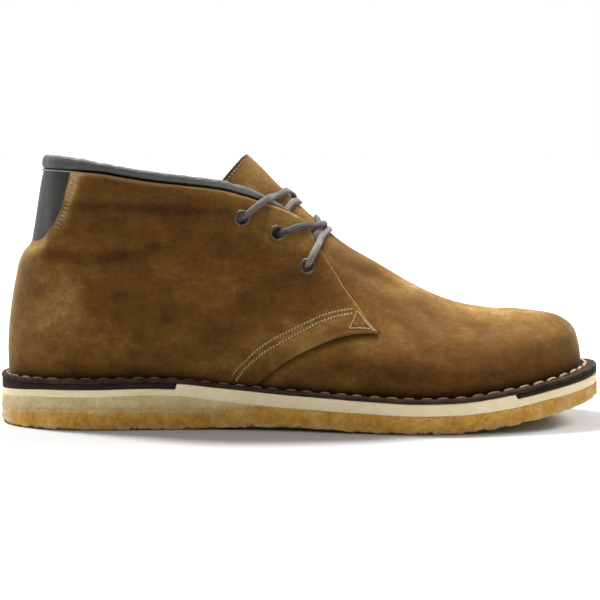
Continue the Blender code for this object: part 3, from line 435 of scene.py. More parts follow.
def resample(uv, step, closed=False):
    """Chart polyline with equal steps of real length."""
    uv = np.asarray(uv, float)
    if closed:
        uv = np.concatenate([uv, uv[:1]])
    dense = np.concatenate([np.linspace(a, b, 9)[:-1] for a, b in zip(uv[:-1], uv[1:])] + [uv[-1:]])
    real = on_form(dense)[0]
    run = np.concatenate([[0], np.cumsum(np.linalg.norm(np.diff(real, axis=0), axis=1))])
    n = max(2, int(round(run[-1] / step)))
    at = np.linspace(0, run[-1], n + 1)
    out = np.stack([np.interp(at, run, dense[:, k]) for k in (0, 1)], -1)
    return out[:-1] if closed else out


def smooth_line(uv, rounds=2):
    """Corner cutting of an open polyline."""
    uv = np.asarray(uv, float)
    for _ in range(rounds):
        a, b = uv[:-1], uv[1:]
        mid = np.stack([a * 0.75 + b * 0.25, a * 0.25 + b * 0.75], 1).reshape(-1, 2)
        uv = np.concatenate([uv[:1], mid[1:-1], uv[-1:]])
    return uv


def inside(points, loop):
    """Even-odd test of many points against one closed loop."""
    x, y = points[:, 0], points[:, 1]
    hit = np.zeros(len(points), bool)
    a, b = loop, np.roll(loop, -1, axis=0)
    for (x0, y0), (x1, y1) in zip(a, b):
        if y0 == y1:
            continue
        cross = (y0 > y) != (y1 > y)
        hit ^= cross & (x < (x1 - x0) * (y - y0) / (y1 - y0) + x0)
    return hit


def triangulate(loops, spacing, extra=None):
    """Even triangles in a chart region: first loop outside, the others holes."""
    border = np.concatenate(loops)
    low, high = border.min(0), border.max(0)
    rows = np.arange(low[1] - spacing, high[1] + spacing, spacing * 0.866)
    cols = np.arange(low[0] - spacing, high[0] + spacing, spacing)
    gx, gy = np.meshgrid(cols, rows)
    gx[1::2] += spacing / 2
    grid = np.stack([gx.ravel(), gy.ravel()], -1)
    keep = inside(grid, loops[0])
    for hole in loops[1:]:
        keep &= ~inside(grid, hole)
    grid = grid[keep]
    solid = border if extra is None else np.concatenate([border, extra])
    tree = kdtree.KDTree(len(solid))
    for i, q in enumerate(solid):
        tree.insert((q[0], q[1], 0), i)
    tree.balance()
    near = np.array([tree.find((q[0], q[1], 0))[2] for q in grid])
    limit = spacing * 0.55
    grid = grid[near > limit]
    if extra is not None and len(extra):
        ok = inside(extra, loops[0])
        for hole in loops[1:]:
            ok &= ~inside(extra, hole)
        tree = kdtree.KDTree(len(border))
        for i, q in enumerate(border):
            tree.insert((q[0], q[1], 0), i)
        tree.balance()
        far = np.array([tree.find((q[0], q[1], 0))[2] for q in extra]) > 0.25
        grid = np.concatenate([extra[ok & far], grid])
    points = np.concatenate([border, grid])
    edges, start = [], 0
    for loop in loops:
        n = len(loop)
        edges += [(start + i, start + (i + 1) % n) for i in range(n)]
        start += n
    verts, _, faces, *_ = geometry.delaunay_2d_cdt([Vector((float(a), float(b))) for a, b in points], edges, [], 0, 1e-6)
    verts = np.array([(v.x, v.y) for v in verts])
    tris = np.array([f for f in faces if len(f) == 3])
    centroid = verts[tris].mean(1)
    ok = inside(centroid, loops[0])
    for hole in loops[1:]:
        ok &= ~inside(centroid, hole)
    tris = tris[ok]
    used = np.unique(tris)
    back = np.full(len(verts), -1)
    back[used] = np.arange(len(used))
    return verts[used], back[tris]


def unpinch(tri, points):
    """Drop the smaller fan of triangles wherever the border of a region touches itself at one point."""
    for _ in range(12):
        ways = {(int(t[k]), int(t[(k + 1) % 3])) for t in tri for k in range(3)}
        leaves = {}
        for i, j in ways:
            if (j, i) not in ways:
                leaves[i] = leaves.get(i, 0) + 1
        pinched = [v for v, many in leaves.items() if many > 1]
        if not pinched:
            break
        drop = set()
        for v in pinched:
            around = [int(k) for k in np.where((tri == v).any(1))[0]]
            fans = []
            while around:
                fan = [around.pop()]
                grown = True
                while grown:
                    grown = False
                    for k in list(around):
                        if any(len(set(tri[k].tolist()) & set(tri[f].tolist()) - {v}) for f in fan):
                            fan.append(k)
                            around.remove(k)
                            grown = True
                fans.append(fan)
            size = [sum(float(np.linalg.norm(np.cross(points[tri[k, 1]] - points[tri[k, 0]], points[tri[k, 2]] - points[tri[k, 0]]))) for k in fan) for fan in fans]
            for fan in (fans[k] for k in np.argsort(size)[:-1]):
                drop.update(fan)
        tri = np.delete(tri, sorted(drop), axis=0)
    return tri


ROUND = ((0.22, 0.06), (0.4, 0.24), (0.48, 0.5))


def skin(name, regions, top, bottom, mats, spacing=1.0, relief=None, extra=None, fray=0.05, tones=None, edge_round=ROUND, cut=None, cut_colour_and_highlight_on_face=None):
    """A closed piece of leather on the form. regions: lists of chart loops. top and bottom: heights over the form."""
    all_uv, all_tri, count = [], [], 0
    for k, loops in enumerate(regions):
        uv, tri = triangulate(loops, spacing, None if extra is None else extra[k])
        all_uv.append(uv)
        all_tri.append(tri + count)
        count += len(uv)
    uv, tri = np.concatenate(all_uv), np.concatenate(all_tri)
    # Wind every triangle the same way in the chart, slivers too, so that neighbours always agree.
    e1, e2 = uv[tri[:, 1]] - uv[tri[:, 0]], uv[tri[:, 2]] - uv[tri[:, 0]]
    left = e1[:, 0] * e2[:, 1] - e1[:, 1] * e2[:, 0] > 0
    tri = np.where(left[:, None], tri, tri[:, ::-1])
    base, n, theta, p = on_form(uv)
    # Weld along the planes where lateral and medial sides meet.
    target = np.arange(len(uv))
    seam = np.where((theta < 1e-5) | (theta > math.pi - 1e-5))[0]
    seen = {}
    for i in seam:
        key = (theta[i] > 1, round(abs(uv[i, 1]) * 50))
        hit = next((seen[(key[0], key[1] + d)] for d in (0, -1, 1) if (key[0], key[1] + d) in seen), None)
        if hit is None or hit == i:
            seen[key] = i
        else:
            target[i] = hit
    tri = target[tri]
    tri = tri[(tri[:, 0] != tri[:, 1]) & (tri[:, 1] != tri[:, 2]) & (tri[:, 0] != tri[:, 2])]
    tri = unpinch(tri, base)
    used = np.unique(tri)
    back = np.full(len(uv), -1)
    back[used] = np.arange(len(used))
    uv, base, n, theta, p, tri = uv[used], base[used], n[used], theta[used], p[used], back[tri]
    # Turn the whole piece outward.
    a, b, c = base[tri[:, 0]], base[tri[:, 1]], base[tri[:, 2]]
    if np.einsum("ij,ij->i", np.cross(b - a, c - a), n[tri].sum(1)).sum() < 0:
        tri = tri[:, ::-1]
    hi = top(uv, theta, p) if callable(top) else np.full(len(uv), float(top))
    lo = bottom(uv, theta, p) if callable(bottom) else np.full(len(uv), float(bottom))
    bump = relief(uv, theta, p, base) if relief else np.zeros(len(uv))
    face = base + n * (hi + bump)[:, None]
    under = base + n * (lo + bump * (0.5 if relief else 0))[:, None]
    # The cut edge: a rounded rim from the face down to the underside.
    directed = {}
    for t in tri:
        for i, j in ((t[0], t[1]), (t[1], t[2]), (t[2], t[0])):
            directed[(int(i), int(j))] = int(t[0] + t[1] + t[2] - i - j)
    border = [(i, j) for (i, j) in directed if (j, i) not in directed]
    rim = sorted({i for e in border for i in e})
    place = {v: k for k, v in enumerate(rim)}
    o = np.zeros((len(rim), 3))
    for i, j in border:
        along = face[j] - face[i]
        side_way = np.cross(along, n[i] + n[j])
        if np.dot(side_way, face[directed[(i, j)]] - face[i]) > 0:
            side_way = -side_way
        o[place[i]] += side_way
        o[place[j]] += side_way
    o /= np.maximum(np.linalg.norm(o, axis=1, keepdims=True), 1e-9)
    rim = np.array(rim)
    thick = (hi - lo)[rim]
    rough = noise(face[rim], 1.3, 5) * fray + noise(face[rim], 4.0, 6) * fray
    m = len(uv)
    rows = [rim]
    points = [face]
    profile = [(d, s) for d, s in edge_round] + [(edge_round[-1][0], -0.35), (edge_round[-1][0] * 0.6, -0.08)]
    for d, s in profile:
        depth = s if s > 0 else thick + s
        depth = np.minimum(depth, thick * 0.95)
        points.append(face[rim] + o * (d + rough * (d / 0.48))[:, None] - n[rim] * np.asarray(depth).reshape(-1, 1))
        rows.append(m + np.arange(len(rim)))
        m += len(rim)
    points.append(under)
    rows.append(m + rim)
    faces = [tuple(t) for t in tri]
    index = [0] * len(faces)
    for r0, r1 in zip(rows[:-1], rows[1:]):
        for i, j in border:
            a, b = place[i], place[j]
            faces.append((r0[b], r0[a], r1[a], r1[b]))
            index.append(0)
    faces += [tuple(m + t[::-1]) for t in tri]
    index += [1 if isinstance(mats, (list, tuple)) and len(mats) > 1 else 0] * len(tri)
    points = np.concatenate(points)
    raw = np.zeros(len(points))
    raw[len(uv) : m] = 1.0
    raw[rim] = 0.5
    # cut colour put on the face beside an edge; on the quarters' collar edge it is also a painted highlight
    if cut_colour_and_highlight_on_face is not None:
        raw[: len(uv)] = np.maximum(raw[: len(uv)], cut_colour_and_highlight_on_face(uv))
    # cut lowers the pale cut colour along chosen edges; along the quarters' lower seam this is painted shade
    if cut is not None:
        share = cut(uv[rim])
        for k in range(len(rows) - 1):
            raw[rows[k]] *= share
    tone = np.zeros(len(points))
    values = tones(uv, theta, p, face) if tones else np.zeros(len(uv))
    tone[: len(uv)] = values
    tone[m:] = values
    for k in range(1, len(rows) - 1):
        tone[rows[k]] = values[rim]
    return make(name, points, faces, mats, index, marks={"raw": raw, "tone": tone})


# ---------------------------------------------------------------- materials
class Shader:
    """A small hand on one material's nodes."""

    def __init__(self, name, roughness=0.7, metallic=0.0, colour=(0.5, 0.5, 0.5)):
        self.mat = bpy.data.materials.new(name)
        self.mat.use_nodes = True
        self.tree = self.mat.node_tree
        self.bsdf = self.tree.nodes["Principled BSDF"]
        self.bsdf.inputs["Roughness"].default_value = roughness
        self.bsdf.inputs["Metallic"].default_value = metallic
        self.bsdf.inputs["Base Color"].default_value = (*colour, 1)
        self.mat.diffuse_color = (*colour, 1)
        self.where = self.node("ShaderNodeTexCoord").outputs["Object"]

    def node(self, kind, **settings):
        made = self.tree.nodes.new(kind)
        for key, value in settings.items():
            setattr(made, key, value)
        return made

    def link(self, a, b):
        self.tree.links.new(a, b)

    def put(self, socket, value):
        if hasattr(value, "is_output") or hasattr(value, "links"):
            self.link(value, socket)
        elif isinstance(value, (tuple, list)) and len(value) == 3 and socket.type == "RGBA":
            socket.default_value = (*value, 1)
        else:
            socket.default_value = value

    def stretch(self, scale, turn=(0, 0, 0)):
        m = self.node("ShaderNodeMapping")
        m.inputs["Scale"].default_value = scale
        m.inputs["Rotation"].default_value = turn
        self.link(self.where, m.inputs["Vector"])
        return m.outputs["Vector"]

    def noise(self, size, detail=3.0, rough=0.55, vector=None, distortion=0.0):
        """size is the blotch size in metres."""
        n = self.node("ShaderNodeTexNoise")
        self.link(vector or self.where, n.inputs["Vector"])
        n.inputs["Scale"].default_value = 1.0 / size
        n.inputs["Detail"].default_value = detail
        n.inputs["Roughness"].default_value = rough
        n.inputs["Distortion"].default_value = distortion
        return n.outputs["Fac"]

    def cells(self, size, feature="F1", vector=None):
        n = self.node("ShaderNodeTexVoronoi", feature=feature)
        self.link(vector or self.where, n.inputs["Vector"])
        n.inputs["Scale"].default_value = 1.0 / size
        return n.outputs["Distance"]

    def ramp(self, value, stops):
        r = self.node("ShaderNodeValToRGB")
        self.put(r.inputs["Fac"], value)
        while len(r.color_ramp.elements) < len(stops):
            r.color_ramp.elements.new(0.5)
        for e, (at, colour) in zip(r.color_ramp.elements, stops):
            e.position = at
            e.color = (*colour, 1) if isinstance(colour, (tuple, list)) else (colour, colour, colour, 1)
        return r.outputs["Color"]

    def math(self, op, a, b=0.5, clamp=False):
        m = self.node("ShaderNodeMath", operation=op, use_clamp=clamp)
        self.put(m.inputs[0], a)
        self.put(m.inputs[1], b)
        return m.outputs[0]

    def mix(self, fac, a, b, blend="MIX"):
        m = self.node("ShaderNodeMix", data_type="RGBA", blend_type=blend)
        self.put(m.inputs[0], fac)
        self.put(m.inputs[6], a)
        self.put(m.inputs[7], b)
        return m.outputs[2]

    def mark(self, name):
        return self.node("ShaderNodeAttribute", attribute_name=name).outputs["Fac"]

    def bump(self, height, strength, distance, under=None):
        b = self.node("ShaderNodeBump")
        b.inputs["Strength"].default_value = strength
        b.inputs["Distance"].default_value = distance
        self.link(height, b.inputs["Height"])
        if under is not None:
            self.link(under, b.inputs["Normal"])
        return b.outputs["Normal"]

    def colour(self, value):
        self.put(self.bsdf.inputs["Base Color"], value)

    def finish(self, normal=None, rough=None):
        if normal is not None:
            self.link(normal, self.bsdf.inputs["Normal"])
        if rough is not None:
            self.link(rough, self.bsdf.inputs["Roughness"])
        return self.mat


def suede(name):
    s = Shader(name, 0.93, colour=(0.118, 0.052, 0.0125))
    big = s.noise(0.026, 4.0, 0.6, distortion=0.5)
    mid = s.noise(0.0075, 4.0, 0.65, distortion=0.2)
    nap = s.noise(0.0022, 3.0, 0.7, s.stretch((0.85, 1.0, 1.12)))
    fibre = s.noise(0.0006, 2.0, 0.8, s.stretch((0.7, 1.0, 1.25), (0, 0.6, 0)))
    tone = s.mark("tone")
    v = s.math("MULTIPLY_ADD", tone, 0.5)
    v.node.inputs[2].default_value = 0.5
    v = s.math("ADD", v, s.math("MULTIPLY", s.math("SUBTRACT", big, 0.5), 0.40))
    v = s.math("ADD", v, s.math("MULTIPLY", s.math("SUBTRACT", mid, 0.5), 0.38))
    v = s.math("ADD", v, s.math("MULTIPLY", s.math("SUBTRACT", nap, 0.5), 0.42))
    v = s.math("ADD", v, s.math("MULTIPLY", s.math("SUBTRACT", fibre, 0.5), 0.34))
    face = s.ramp(v, ((0.0, (0.036, 0.014, 0.0036)), (0.26, (0.074, 0.031, 0.0072)), (0.50, (0.120, 0.054, 0.0115)), (0.75, (0.196, 0.105, 0.028)), (1.0, (0.40, 0.265, 0.118))))
    cut = s.mix(s.noise(0.0009, 2.0), (0.20, 0.105, 0.035), (0.34, 0.20, 0.08))
    s.colour(s.mix(s.math("MULTIPLY", s.mark("raw"), 0.9, True), face, cut))
    s.bsdf.inputs["Sheen Weight"].default_value = 0.22
    s.bsdf.inputs["Sheen Roughness"].default_value = 0.45
    s.bsdf.inputs["Sheen Tint"].default_value = (1.0, 0.83, 0.50, 1)
    s.bsdf.inputs["Specular IOR Level"].default_value = 0.05
    n = s.bump(mid, 0.25, 0.0005)
    n = s.bump(nap, 0.32, 0.0003, n)
    n = s.bump(fibre, 0.5, 0.00012, n)
    return s.finish(n)


def grain_leather(name, dark, light, size=0.0011, rough=0.5, strength=0.6, colour=(0.1, 0.1, 0.1)):
    s = Shader(name, rough, colour=colour)
    pebbles = s.cells(size, "DISTANCE_TO_EDGE")
    fine = s.noise(size * 0.35, 3.0, 0.6)
    cloud = s.noise(0.012, 4.0, 0.6)
    tone = s.math("ADD", s.math("MULTIPLY", cloud, 0.65), s.math("MULTIPLY", fine, 0.35))
    # 'pale' lifts or lowers the tone; on the collar roll's neck it is painted shade
    tone = s.math("ADD", tone, s.mark("pale"))
    deep, bright = tuple(c * 0.2 for c in dark), tuple(c * 1.9 for c in light)
    face = s.ramp(tone, ((0.0, deep), (0.27, dark), (0.73, light), (1.0, bright)))
    lines = s.ramp(pebbles, ((0.0, 0.45), (0.10, 1.0)))
    s.colour(s.mix(0.7, face, lines, "MULTIPLY"))
    bumps = s.ramp(pebbles, ((0.0, 0.0), (0.22, 1.0)))
    n = s.bump(bumps, strength, 0.00016)
    n = s.bump(fine, 0.35, 0.00006, n)
    r = s.ramp(fine, ((0.3, rough - 0.1), (0.8, rough + 0.14)))
    s.bsdf.inputs["Specular IOR Level"].default_value = 0.4
    return s.finish(n, r)


def crepe(name, deep, body, pale, rubbed, tooth=1.0):
    s = Shader(name, 0.62, colour=body)
    flow = s.stretch((1.0, 1.0, 0.8))
    big = s.noise(0.009, 5.0, 0.62, distortion=0.8)
    crumb = s.cells(0.0021, "F1", flow)
    wrinkle = s.noise(0.0028, 5.0, 0.7, s.stretch((1.0, 1.0, 0.9)), 1.2)
    fine = s.noise(0.0009, 3.0, 0.7)
    v = s.math("ADD", s.math("MULTIPLY", big, 0.40), s.math("MULTIPLY", wrinkle, 0.42))
    v = s.math("ADD", v, s.math("MULTIPLY", fine, 0.18))
    face = s.ramp(v, ((0.36, deep), (0.5, body), (0.64, pale)))
    worn = s.mark("worn")
    s.colour(s.mix(worn, face, rubbed))
    s.bsdf.inputs["Specular IOR Level"].default_value = 0.22
    s.bsdf.inputs["Subsurface Weight"].default_value = 0.10
    s.bsdf.inputs["Subsurface Radius"].default_value = (0.004, 0.002, 0.0008)
    s.bsdf.inputs["Subsurface Scale"].default_value = 0.6
    n = s.bump(wrinkle, 0.75 * tooth, 0.0014)
    n = s.bump(crumb, 0.5 * tooth, 0.0009, n)
    n = s.bump(fine, 0.5, 0.0003, n)
    r = s.ramp(fine, ((0.2, 0.5), (0.8, 0.78)))
    return s.finish(n, r)


def plain(name, dark, light, size=0.002, rough=0.6, strength=0.3, depth=0.0002, metallic=0.0, colour=(0.5, 0.5, 0.5), shine=0.3):
    s = Shader(name, rough, metallic, colour=colour)
    s.bsdf.inputs["Specular IOR Level"].default_value = shine
    a, b = s.noise(size, 4.0, 0.65), s.noise(size * 6, 3.0, 0.6)
    v = s.math("ADD", s.math("MULTIPLY", a, 0.5), s.math("MULTIPLY", b, 0.5))
    s.colour(s.ramp(v, ((0.3, dark), (0.72, light))))
    n = s.bump(a, strength, depth)
    return s.finish(n, s.ramp(a, ((0.25, max(rough - 0.12, 0.05)), (0.8, min(rough + 0.12, 1.0)))))


def thread(name, dark, light):
    """Twisted thread: the twist follows the u and v of each stitch."""
    s = Shader(name, 0.65, colour=light)
    uv = s.node("ShaderNodeTexCoord").outputs["UV"]
    w = s.node("ShaderNodeTexWave", wave_type="BANDS", bands_direction="DIAGONAL")
    s.link(uv, w.inputs["Vector"])
    w.inputs["Scale"].default_value = 1.1
    w.inputs["Distortion"].default_value = 0.4
    dirt = s.noise(0.004, 3.0)
    v = s.math("ADD", s.math("MULTIPLY", w.outputs["Fac"], 0.55), s.math("MULTIPLY", dirt, 0.5))
    lit = s.ramp(v, ((0.2, dark), (0.8, light)))
    s.colour(s.mix(s.mark("dirt"), lit, tuple(c * 0.28 for c in dark)))
    return s.finish(s.bump(w.outputs["Fac"], 0.5, 0.00012))


def cord_cloth(name):
    """Braided waxed lace: u runs round it, v along it, in millimetres."""
    s = Shader(name, 0.62, colour=(0.17, 0.145, 0.135))
    uv = s.node("ShaderNodeTexCoord").outputs["UV"]
    waves = []
    for turn in (0.72, -0.72):
        m = s.node("ShaderNodeMapping")
        m.inputs["Rotation"].default_value = (0, 0, turn)
        s.link(uv, m.inputs["Vector"])
        w = s.node("ShaderNodeTexWave", wave_type="BANDS", bands_direction="X")
        s.link(m.outputs["Vector"], w.inputs["Vector"])
        w.inputs["Scale"].default_value = 0.62
        w.inputs["Distortion"].default_value = 0.3
        waves.append(w.outputs["Fac"])
    braid = s.math("MULTIPLY", waves[0], waves[1])
    stripe = s.node("ShaderNodeTexNoise")
    m = s.node("ShaderNodeMapping")
    m.inputs["Scale"].default_value = (1.6, 0.09, 1)
    s.link(uv, m.inputs["Vector"])
    s.link(m.outputs["Vector"], stripe.inputs["Vector"])
    stripe.inputs["Scale"].default_value = 1.0
    stripe.inputs["Detail"].default_value = 3
    v = s.math("ADD", s.math("MULTIPLY", braid, 0.35), s.math("MULTIPLY", stripe.outputs["Fac"], 0.75))
    v = s.math("ADD", v, s.mark("tone"))
    s.colour(s.ramp(v, ((0.34, (0.016, 0.011, 0.010)), (0.5, (0.082, 0.061, 0.055)), (0.71, (0.31, 0.250, 0.222)))))
    s.bsdf.inputs["Sheen Weight"].default_value = 0.25
    s.bsdf.inputs["Sheen Roughness"].default_value = 0.4
    n = s.bump(braid, 0.6, 0.0003)
    n = s.bump(stripe.outputs["Fac"], 0.5, 0.0003, n)
    return s.finish(n)


SUEDE = suede("suede_tan")
LINING = plain("lining_leather", (0.13, 0.082, 0.040), (0.24, 0.16, 0.085), 0.0015, 0.6, 0.25, 0.0001, colour=(0.19, 0.12, 0.06))
GREY = grain_leather("leather_grey", (0.036, 0.0348, 0.0332), (0.092, 0.088, 0.0835), 0.0012, 0.50, 0.7, (0.095, 0.09, 0.085))
TAB = grain_leather("leather_tab", (0.0162, 0.0152, 0.0132), (0.0355, 0.033, 0.0272), 0.0012, 0.5, 0.5, (0.06, 0.062, 0.06))
AMBER = crepe("crepe_amber", (0.41, 0.185, 0.025), (0.64, 0.33, 0.055), (0.78, 0.52, 0.15), (0.70, 0.56, 0.30))
PALE = crepe("crepe_pale", (0.475, 0.38, 0.175), (0.625, 0.515, 0.26), (0.74, 0.625, 0.36), (0.57, 0.35, 0.105), 0.7)
CREAM = plain("midsole_cream", (0.80, 0.655, 0.395), (0.95, 0.82, 0.56), 0.0014, 0.6, 0.4, 0.00022, colour=(0.88, 0.74, 0.48))
BLACK = plain("insert_black", (0.010, 0.007, 0.004), (0.030, 0.023, 0.015), 0.0012, 0.7, 0.5, 0.0002, colour=(0.014, 0.011, 0.010), shine=0.12)
WELT = plain("welt_brown", (0.008, 0.005, 0.003), (0.080, 0.048, 0.030), 0.0011, 0.85, 0.9, 0.0005, colour=(0.03, 0.017, 0.011), shine=0.10)
INSOLE = plain("insole_leather", (0.16, 0.10, 0.045), (0.29, 0.20, 0.105), 0.0012, 0.62, 0.3, 0.0001, colour=(0.24, 0.16, 0.08))
BRASS = plain("eyelet_brass", (0.040, 0.028, 0.018), (0.20, 0.155, 0.105), 0.0009, 0.45, 0.5, 0.00012, 0.8, colour=(0.2, 0.15, 0.1))
THREAD = thread("thread_light", (0.17, 0.105, 0.042), (0.46, 0.33, 0.175))
WELT_THREAD = thread("thread_welt", (0.20, 0.13, 0.075), (0.60, 0.44, 0.28))
GREY_THREAD = thread("thread_grey", (0.10, 0.095, 0.09), (0.30, 0.29, 0.285))
LACE = cord_cloth("lace_grey")


# ---------------------------------------------------------------- seams and edges in the chart
def curve_xz(table, side, step=0.8, lift=0.0):
    xs = np.linspace(table["x"][0], table["x"][-1], 160)
    return resample(line_xz(xs, gentle(table["x"], table["z"])(xs), side, lift), step)


def ordered_xz(table, side, rounds=0):
    uv = line_xz(table["x"], table["z"], side)
    return smooth_line(uv, rounds) if rounds else uv


def HAND_AT(x, side):
    """The medial side's edges lie this much higher than the lateral ones, or lower where below nought."""
    return np.where(side > 0, -2.4 * np.clip((-8 - np.asarray(x, float)) / 20, 0, 1) * np.clip((np.asarray(x, float) + 150) / 22, 0, 1), 0.0)


notch_theta = np.array([theta_at_angle(a) for a in np.linspace(0.0, TAB_SPREAD, 40)[1:]])
notch_theta = np.concatenate([[0.0], notch_theta])
notch_height = notch_z(np.linspace(0.0, TAB_SPREAD, 40))


def chart_point(theta, p, side):
    return np.stack([u_of(theta), v_of(p, side)], -1)


def notch_line(side, grow=0.0):
    p = p_at_height(notch_theta, side, notch_height + grow)
    return chart_point(notch_theta, p, side)


def collar_line(side, start_theta, drop=0.0):
    theta = np.linspace(start_theta, float(theta_of(-4.0)), 160)
    z = collar_z(x_of(theta)) + HAND_AT(x_of(theta), side) - drop
    return chart_point(theta, p_at_height(theta, side, z), side)


def ring_of(theta, p, side, radius, count=28):
    """A true circle on the form round one point, as a chart loop."""
    u, v = float(u_of(theta)), float(v_of(p, side))
    here = on_form(np.array([[u, v]]))[0][0]
    du = (on_form(np.array([[u + 0.2, v]]))[0][0] - here) / 0.2
    dv = (on_form(np.array([[u, v + 0.2]]))[0][0] - here) / 0.2
    e1 = du / np.linalg.norm(du)
    e2 = dv - e1 * np.dot(dv, e1)
    e2 /= np.linalg.norm(e2)
    a = np.array([[np.dot(du, e1), np.dot(dv, e1)], [np.dot(du, e2), np.dot(dv, e2)]])
    ways = np.linspace(0, 2 * math.pi, count, endpoint=False)
    circle = np.stack([np.cos(ways), np.sin(ways)]) * radius
    return np.array([u, v]) + np.linalg.solve(a, circle).T


def eyelet_places(side):
    theta = theta_of(EYELETS["x"])
    drop = HAND_AT(EYELETS["x"], side)
    return [(float(t), float(p_at_height(t, side, z + d)[0])) for t, z, d in zip(theta, EYELETS["z"], drop)]


def rows_beside(uv, gaps):
    """Points in rows beside a chart line, to carry a fine groove."""
    uv = np.asarray(uv)
    way = np.gradient(uv, axis=0)
    way /= np.maximum(np.linalg.norm(way, axis=1, keepdims=True), 1e-9)
    across = np.stack([-way[:, 1], way[:, 0]], -1)
    return np.concatenate([uv + across * g for g in gaps])


def distance_to(uv, line):
    """Chart distance of many points to a polyline, sampled finely."""
    tree = kdtree.KDTree(len(line))
    for i, q in enumerate(line):
        tree.insert((q[0], q[1], 0), i)
    tree.balance()
    return np.array([tree.find((a, b, 0))[2] for a, b in uv])


seam_rows = {side: (curve_xz(ROW_LOW, side, 0.7), curve_xz(ROW_HIGH, side, 0.7)) for side in (-1, 1)}
tack_line = {side: resample(ordered_xz(TACK, side), 0.6) for side in (-1, 1)}

# Soft troughs in the quarters: a line of section places and heights, half width, depth, height of the swell above it.
TROUGHS = {
    "line":  (
        ((-118, 108.0), (-105.4, 108.9), (-87.4, 109.5), (-67.8, 108.1), (-48.8, 107.0), (-34.7, 106.3)),
        ((-132, 86.0), (-123.4, 84.6), (-108.3, 83.9), (-95.3, 83.5), (-82.9, 85.5), (-70, 89.0)),
        ((-60, 92.0), (-46, 88.0), (-30, 86.5), (-16, 84.0)),
        ((-104, 66.0), (-84, 58.0), (-64, 57.0)),
        ((-44, 52.0), (-30, 60.0), (-12, 66.0)),
    ),
    "wide":  (2.5, 3.6, 6.0, 8.0, 7.0),
    "deep":  (1.35, 1.6, 0.45, 0.45, 0.45),
    "swell": (0.5, 0.55, 0.2, 0.2, 0.2),
}
# The same for the vamp: bends across the ball and the dip ahead of the lacing.
BENDS = {
    "line":  (
        ((17, 84.0), (26, 78.0), (38, 72.5), (50, 69.0)),
        ((44, 56.0), (54, 50.0), (62, 40.0)),
        ((60, 60.0), (70, 50.0), (76, 36.0)),
        ((82, 56.0), (92, 46.0), (97, 36.0)),
        ((20, 34.0), (40, 30.0), (58, 27.0)),
    ),
    "wide":  (5.0, 6.5, 6.0, 7.0, 6.0),
    "deep":  (0.9, 0.5, 0.55, 0.45, 0.4),
    "swell": (0.3, 0.3, 0.3, 0.3, 0.2),
}


def folds(table, side, keep=1.0):
    """Lines of a fold table in the chart, with their shape numbers."""
    made = []
    for line, wide, deep, swell in zip(*table.values()):
        xs, zs = zip(*line)
        uv = smooth_line(line_xz(xs, zs, side), 3)
        made.append((resample(uv, 1.0), wide, deep * keep, swell * keep))
    return made


def fold_relief(uv, made):
    total = np.zeros(len(uv))
    for line, wide, deep, swell in made:
        d = distance_to(uv, line)
        ends = np.minimum(distance_to(uv, line[:1]), distance_to(uv, line[-1:]))
        reach = np.linalg.norm(np.diff(line, axis=0), axis=1).sum()
        fade = np.clip(ends / (0.3 * reach), 0, 1)
        total += (-deep * np.exp(-((d / wide) ** 2)) + swell * np.exp(-(((d - 1.9 * wide) / (1.1 * wide)) ** 2))) * fade
    return total


quarter_folds = {-1: folds(TROUGHS, -1), 1: folds(TROUGHS, 1, 0.8)}
vamp_folds = {-1: folds(BENDS, -1), 1: folds(BENDS, 1, 0.8)}

# Patches of the rubbed and brushed nap, with painted highlights among them: the pale patches on the toe top and at the
# back of the heel stand for the top light. Section place, height, size along, size up, tone.
NAP_AND_PAINTED_LIGHT = {
    "x":    (-128, -104, -88, -70, -44, -20, 4, 22, -120, -60, -30, 30, 50, 74, 110, 112, 126, 136, 60, 90, 44, 20, 0, -96, -134, -12),
    "z":    (60, 46, 72, 98, 96, 84, 70, 70, 98, 58, 44, 76, 66, 55, 53, 44, 40, 50, 32, 28, 46, 30, 102, 30, 44, 90),
    "long": (15, 20, 22, 26, 20, 16, 14, 14, 10, 24, 16, 14, 16, 16, 26, 12, 9, 8, 26, 22, 14, 20, 12, 26, 10, 15),
    "tall": (22, 16, 12, 7, 9, 9, 10, 9, 7, 10, 8, 5, 6, 5, 6, 9, 10, 7, 8, 6, 6, 7, 7, 6, 16, 12),
    "tone": (0.17, 0.15, 0.10, -0.22, -0.12, 0.0, -0.04, -0.02, -0.2, -0.14, -0.1, -0.25, 0.30, 0.24, 0.34, -0.02, 0.12, 0.2, -0.12, -0.12, 0.14, -0.2, 0.2, -0.12, 0.25, 0.24),
}


# Tone of the suede: nap patches and clouds, painted shade low on the upper, painted highlight along the top of the
# vamp.
def nap_and_painted_light_tone(uv, theta, p, face):
    x, z = x_of(theta), face[:, 2]
    tone = np.zeros(len(uv))
    for px, pz, rx, rz, t in zip(*NAP_AND_PAINTED_LIGHT.values()):
        tone += t * np.exp(-(((x - px) / rx) ** 2) - ((z - pz) / rz) ** 2)
    calm = 1 - 0.75 * np.clip((x - 20) / 40, 0, 1)
    tone += calm * (0.22 * clouds(face, 22.0, 31, 3) + 0.14 * clouds(face * (1, 1, 2.2), 9.0, 37, 2))
    # painted shade low on the upper, darkest in the groove where it meets the welt
    low = layer["welt"](face[:, 0])
    tone -= 0.48 * np.exp(-np.clip(z - low, 0, 99) / 4.5) + 1.0 * np.exp(-np.clip(z - low, 0, 99) / 1.8)
    tone -= 0.16 * np.clip((z - 92) / 10, 0, 1) * np.clip((-20 - x) / 15, 0, 1)
    # painted highlight along the top of the vamp, where the top light falls, and painted shade on its flanks
    fore = np.clip((x - 22) / 26, 0, 1)
    tone += fore * (0.50 * np.clip((p - 1.1) / 0.6, 0, 1) - 0.12)
    return tone


def soft_lumps(face, seed):
    return 0.30 * noise(face, 26.0, seed) + 0.14 * noise(face, 11.0, seed + 1) + 0.05 * noise(face, 4.5, seed + 2)


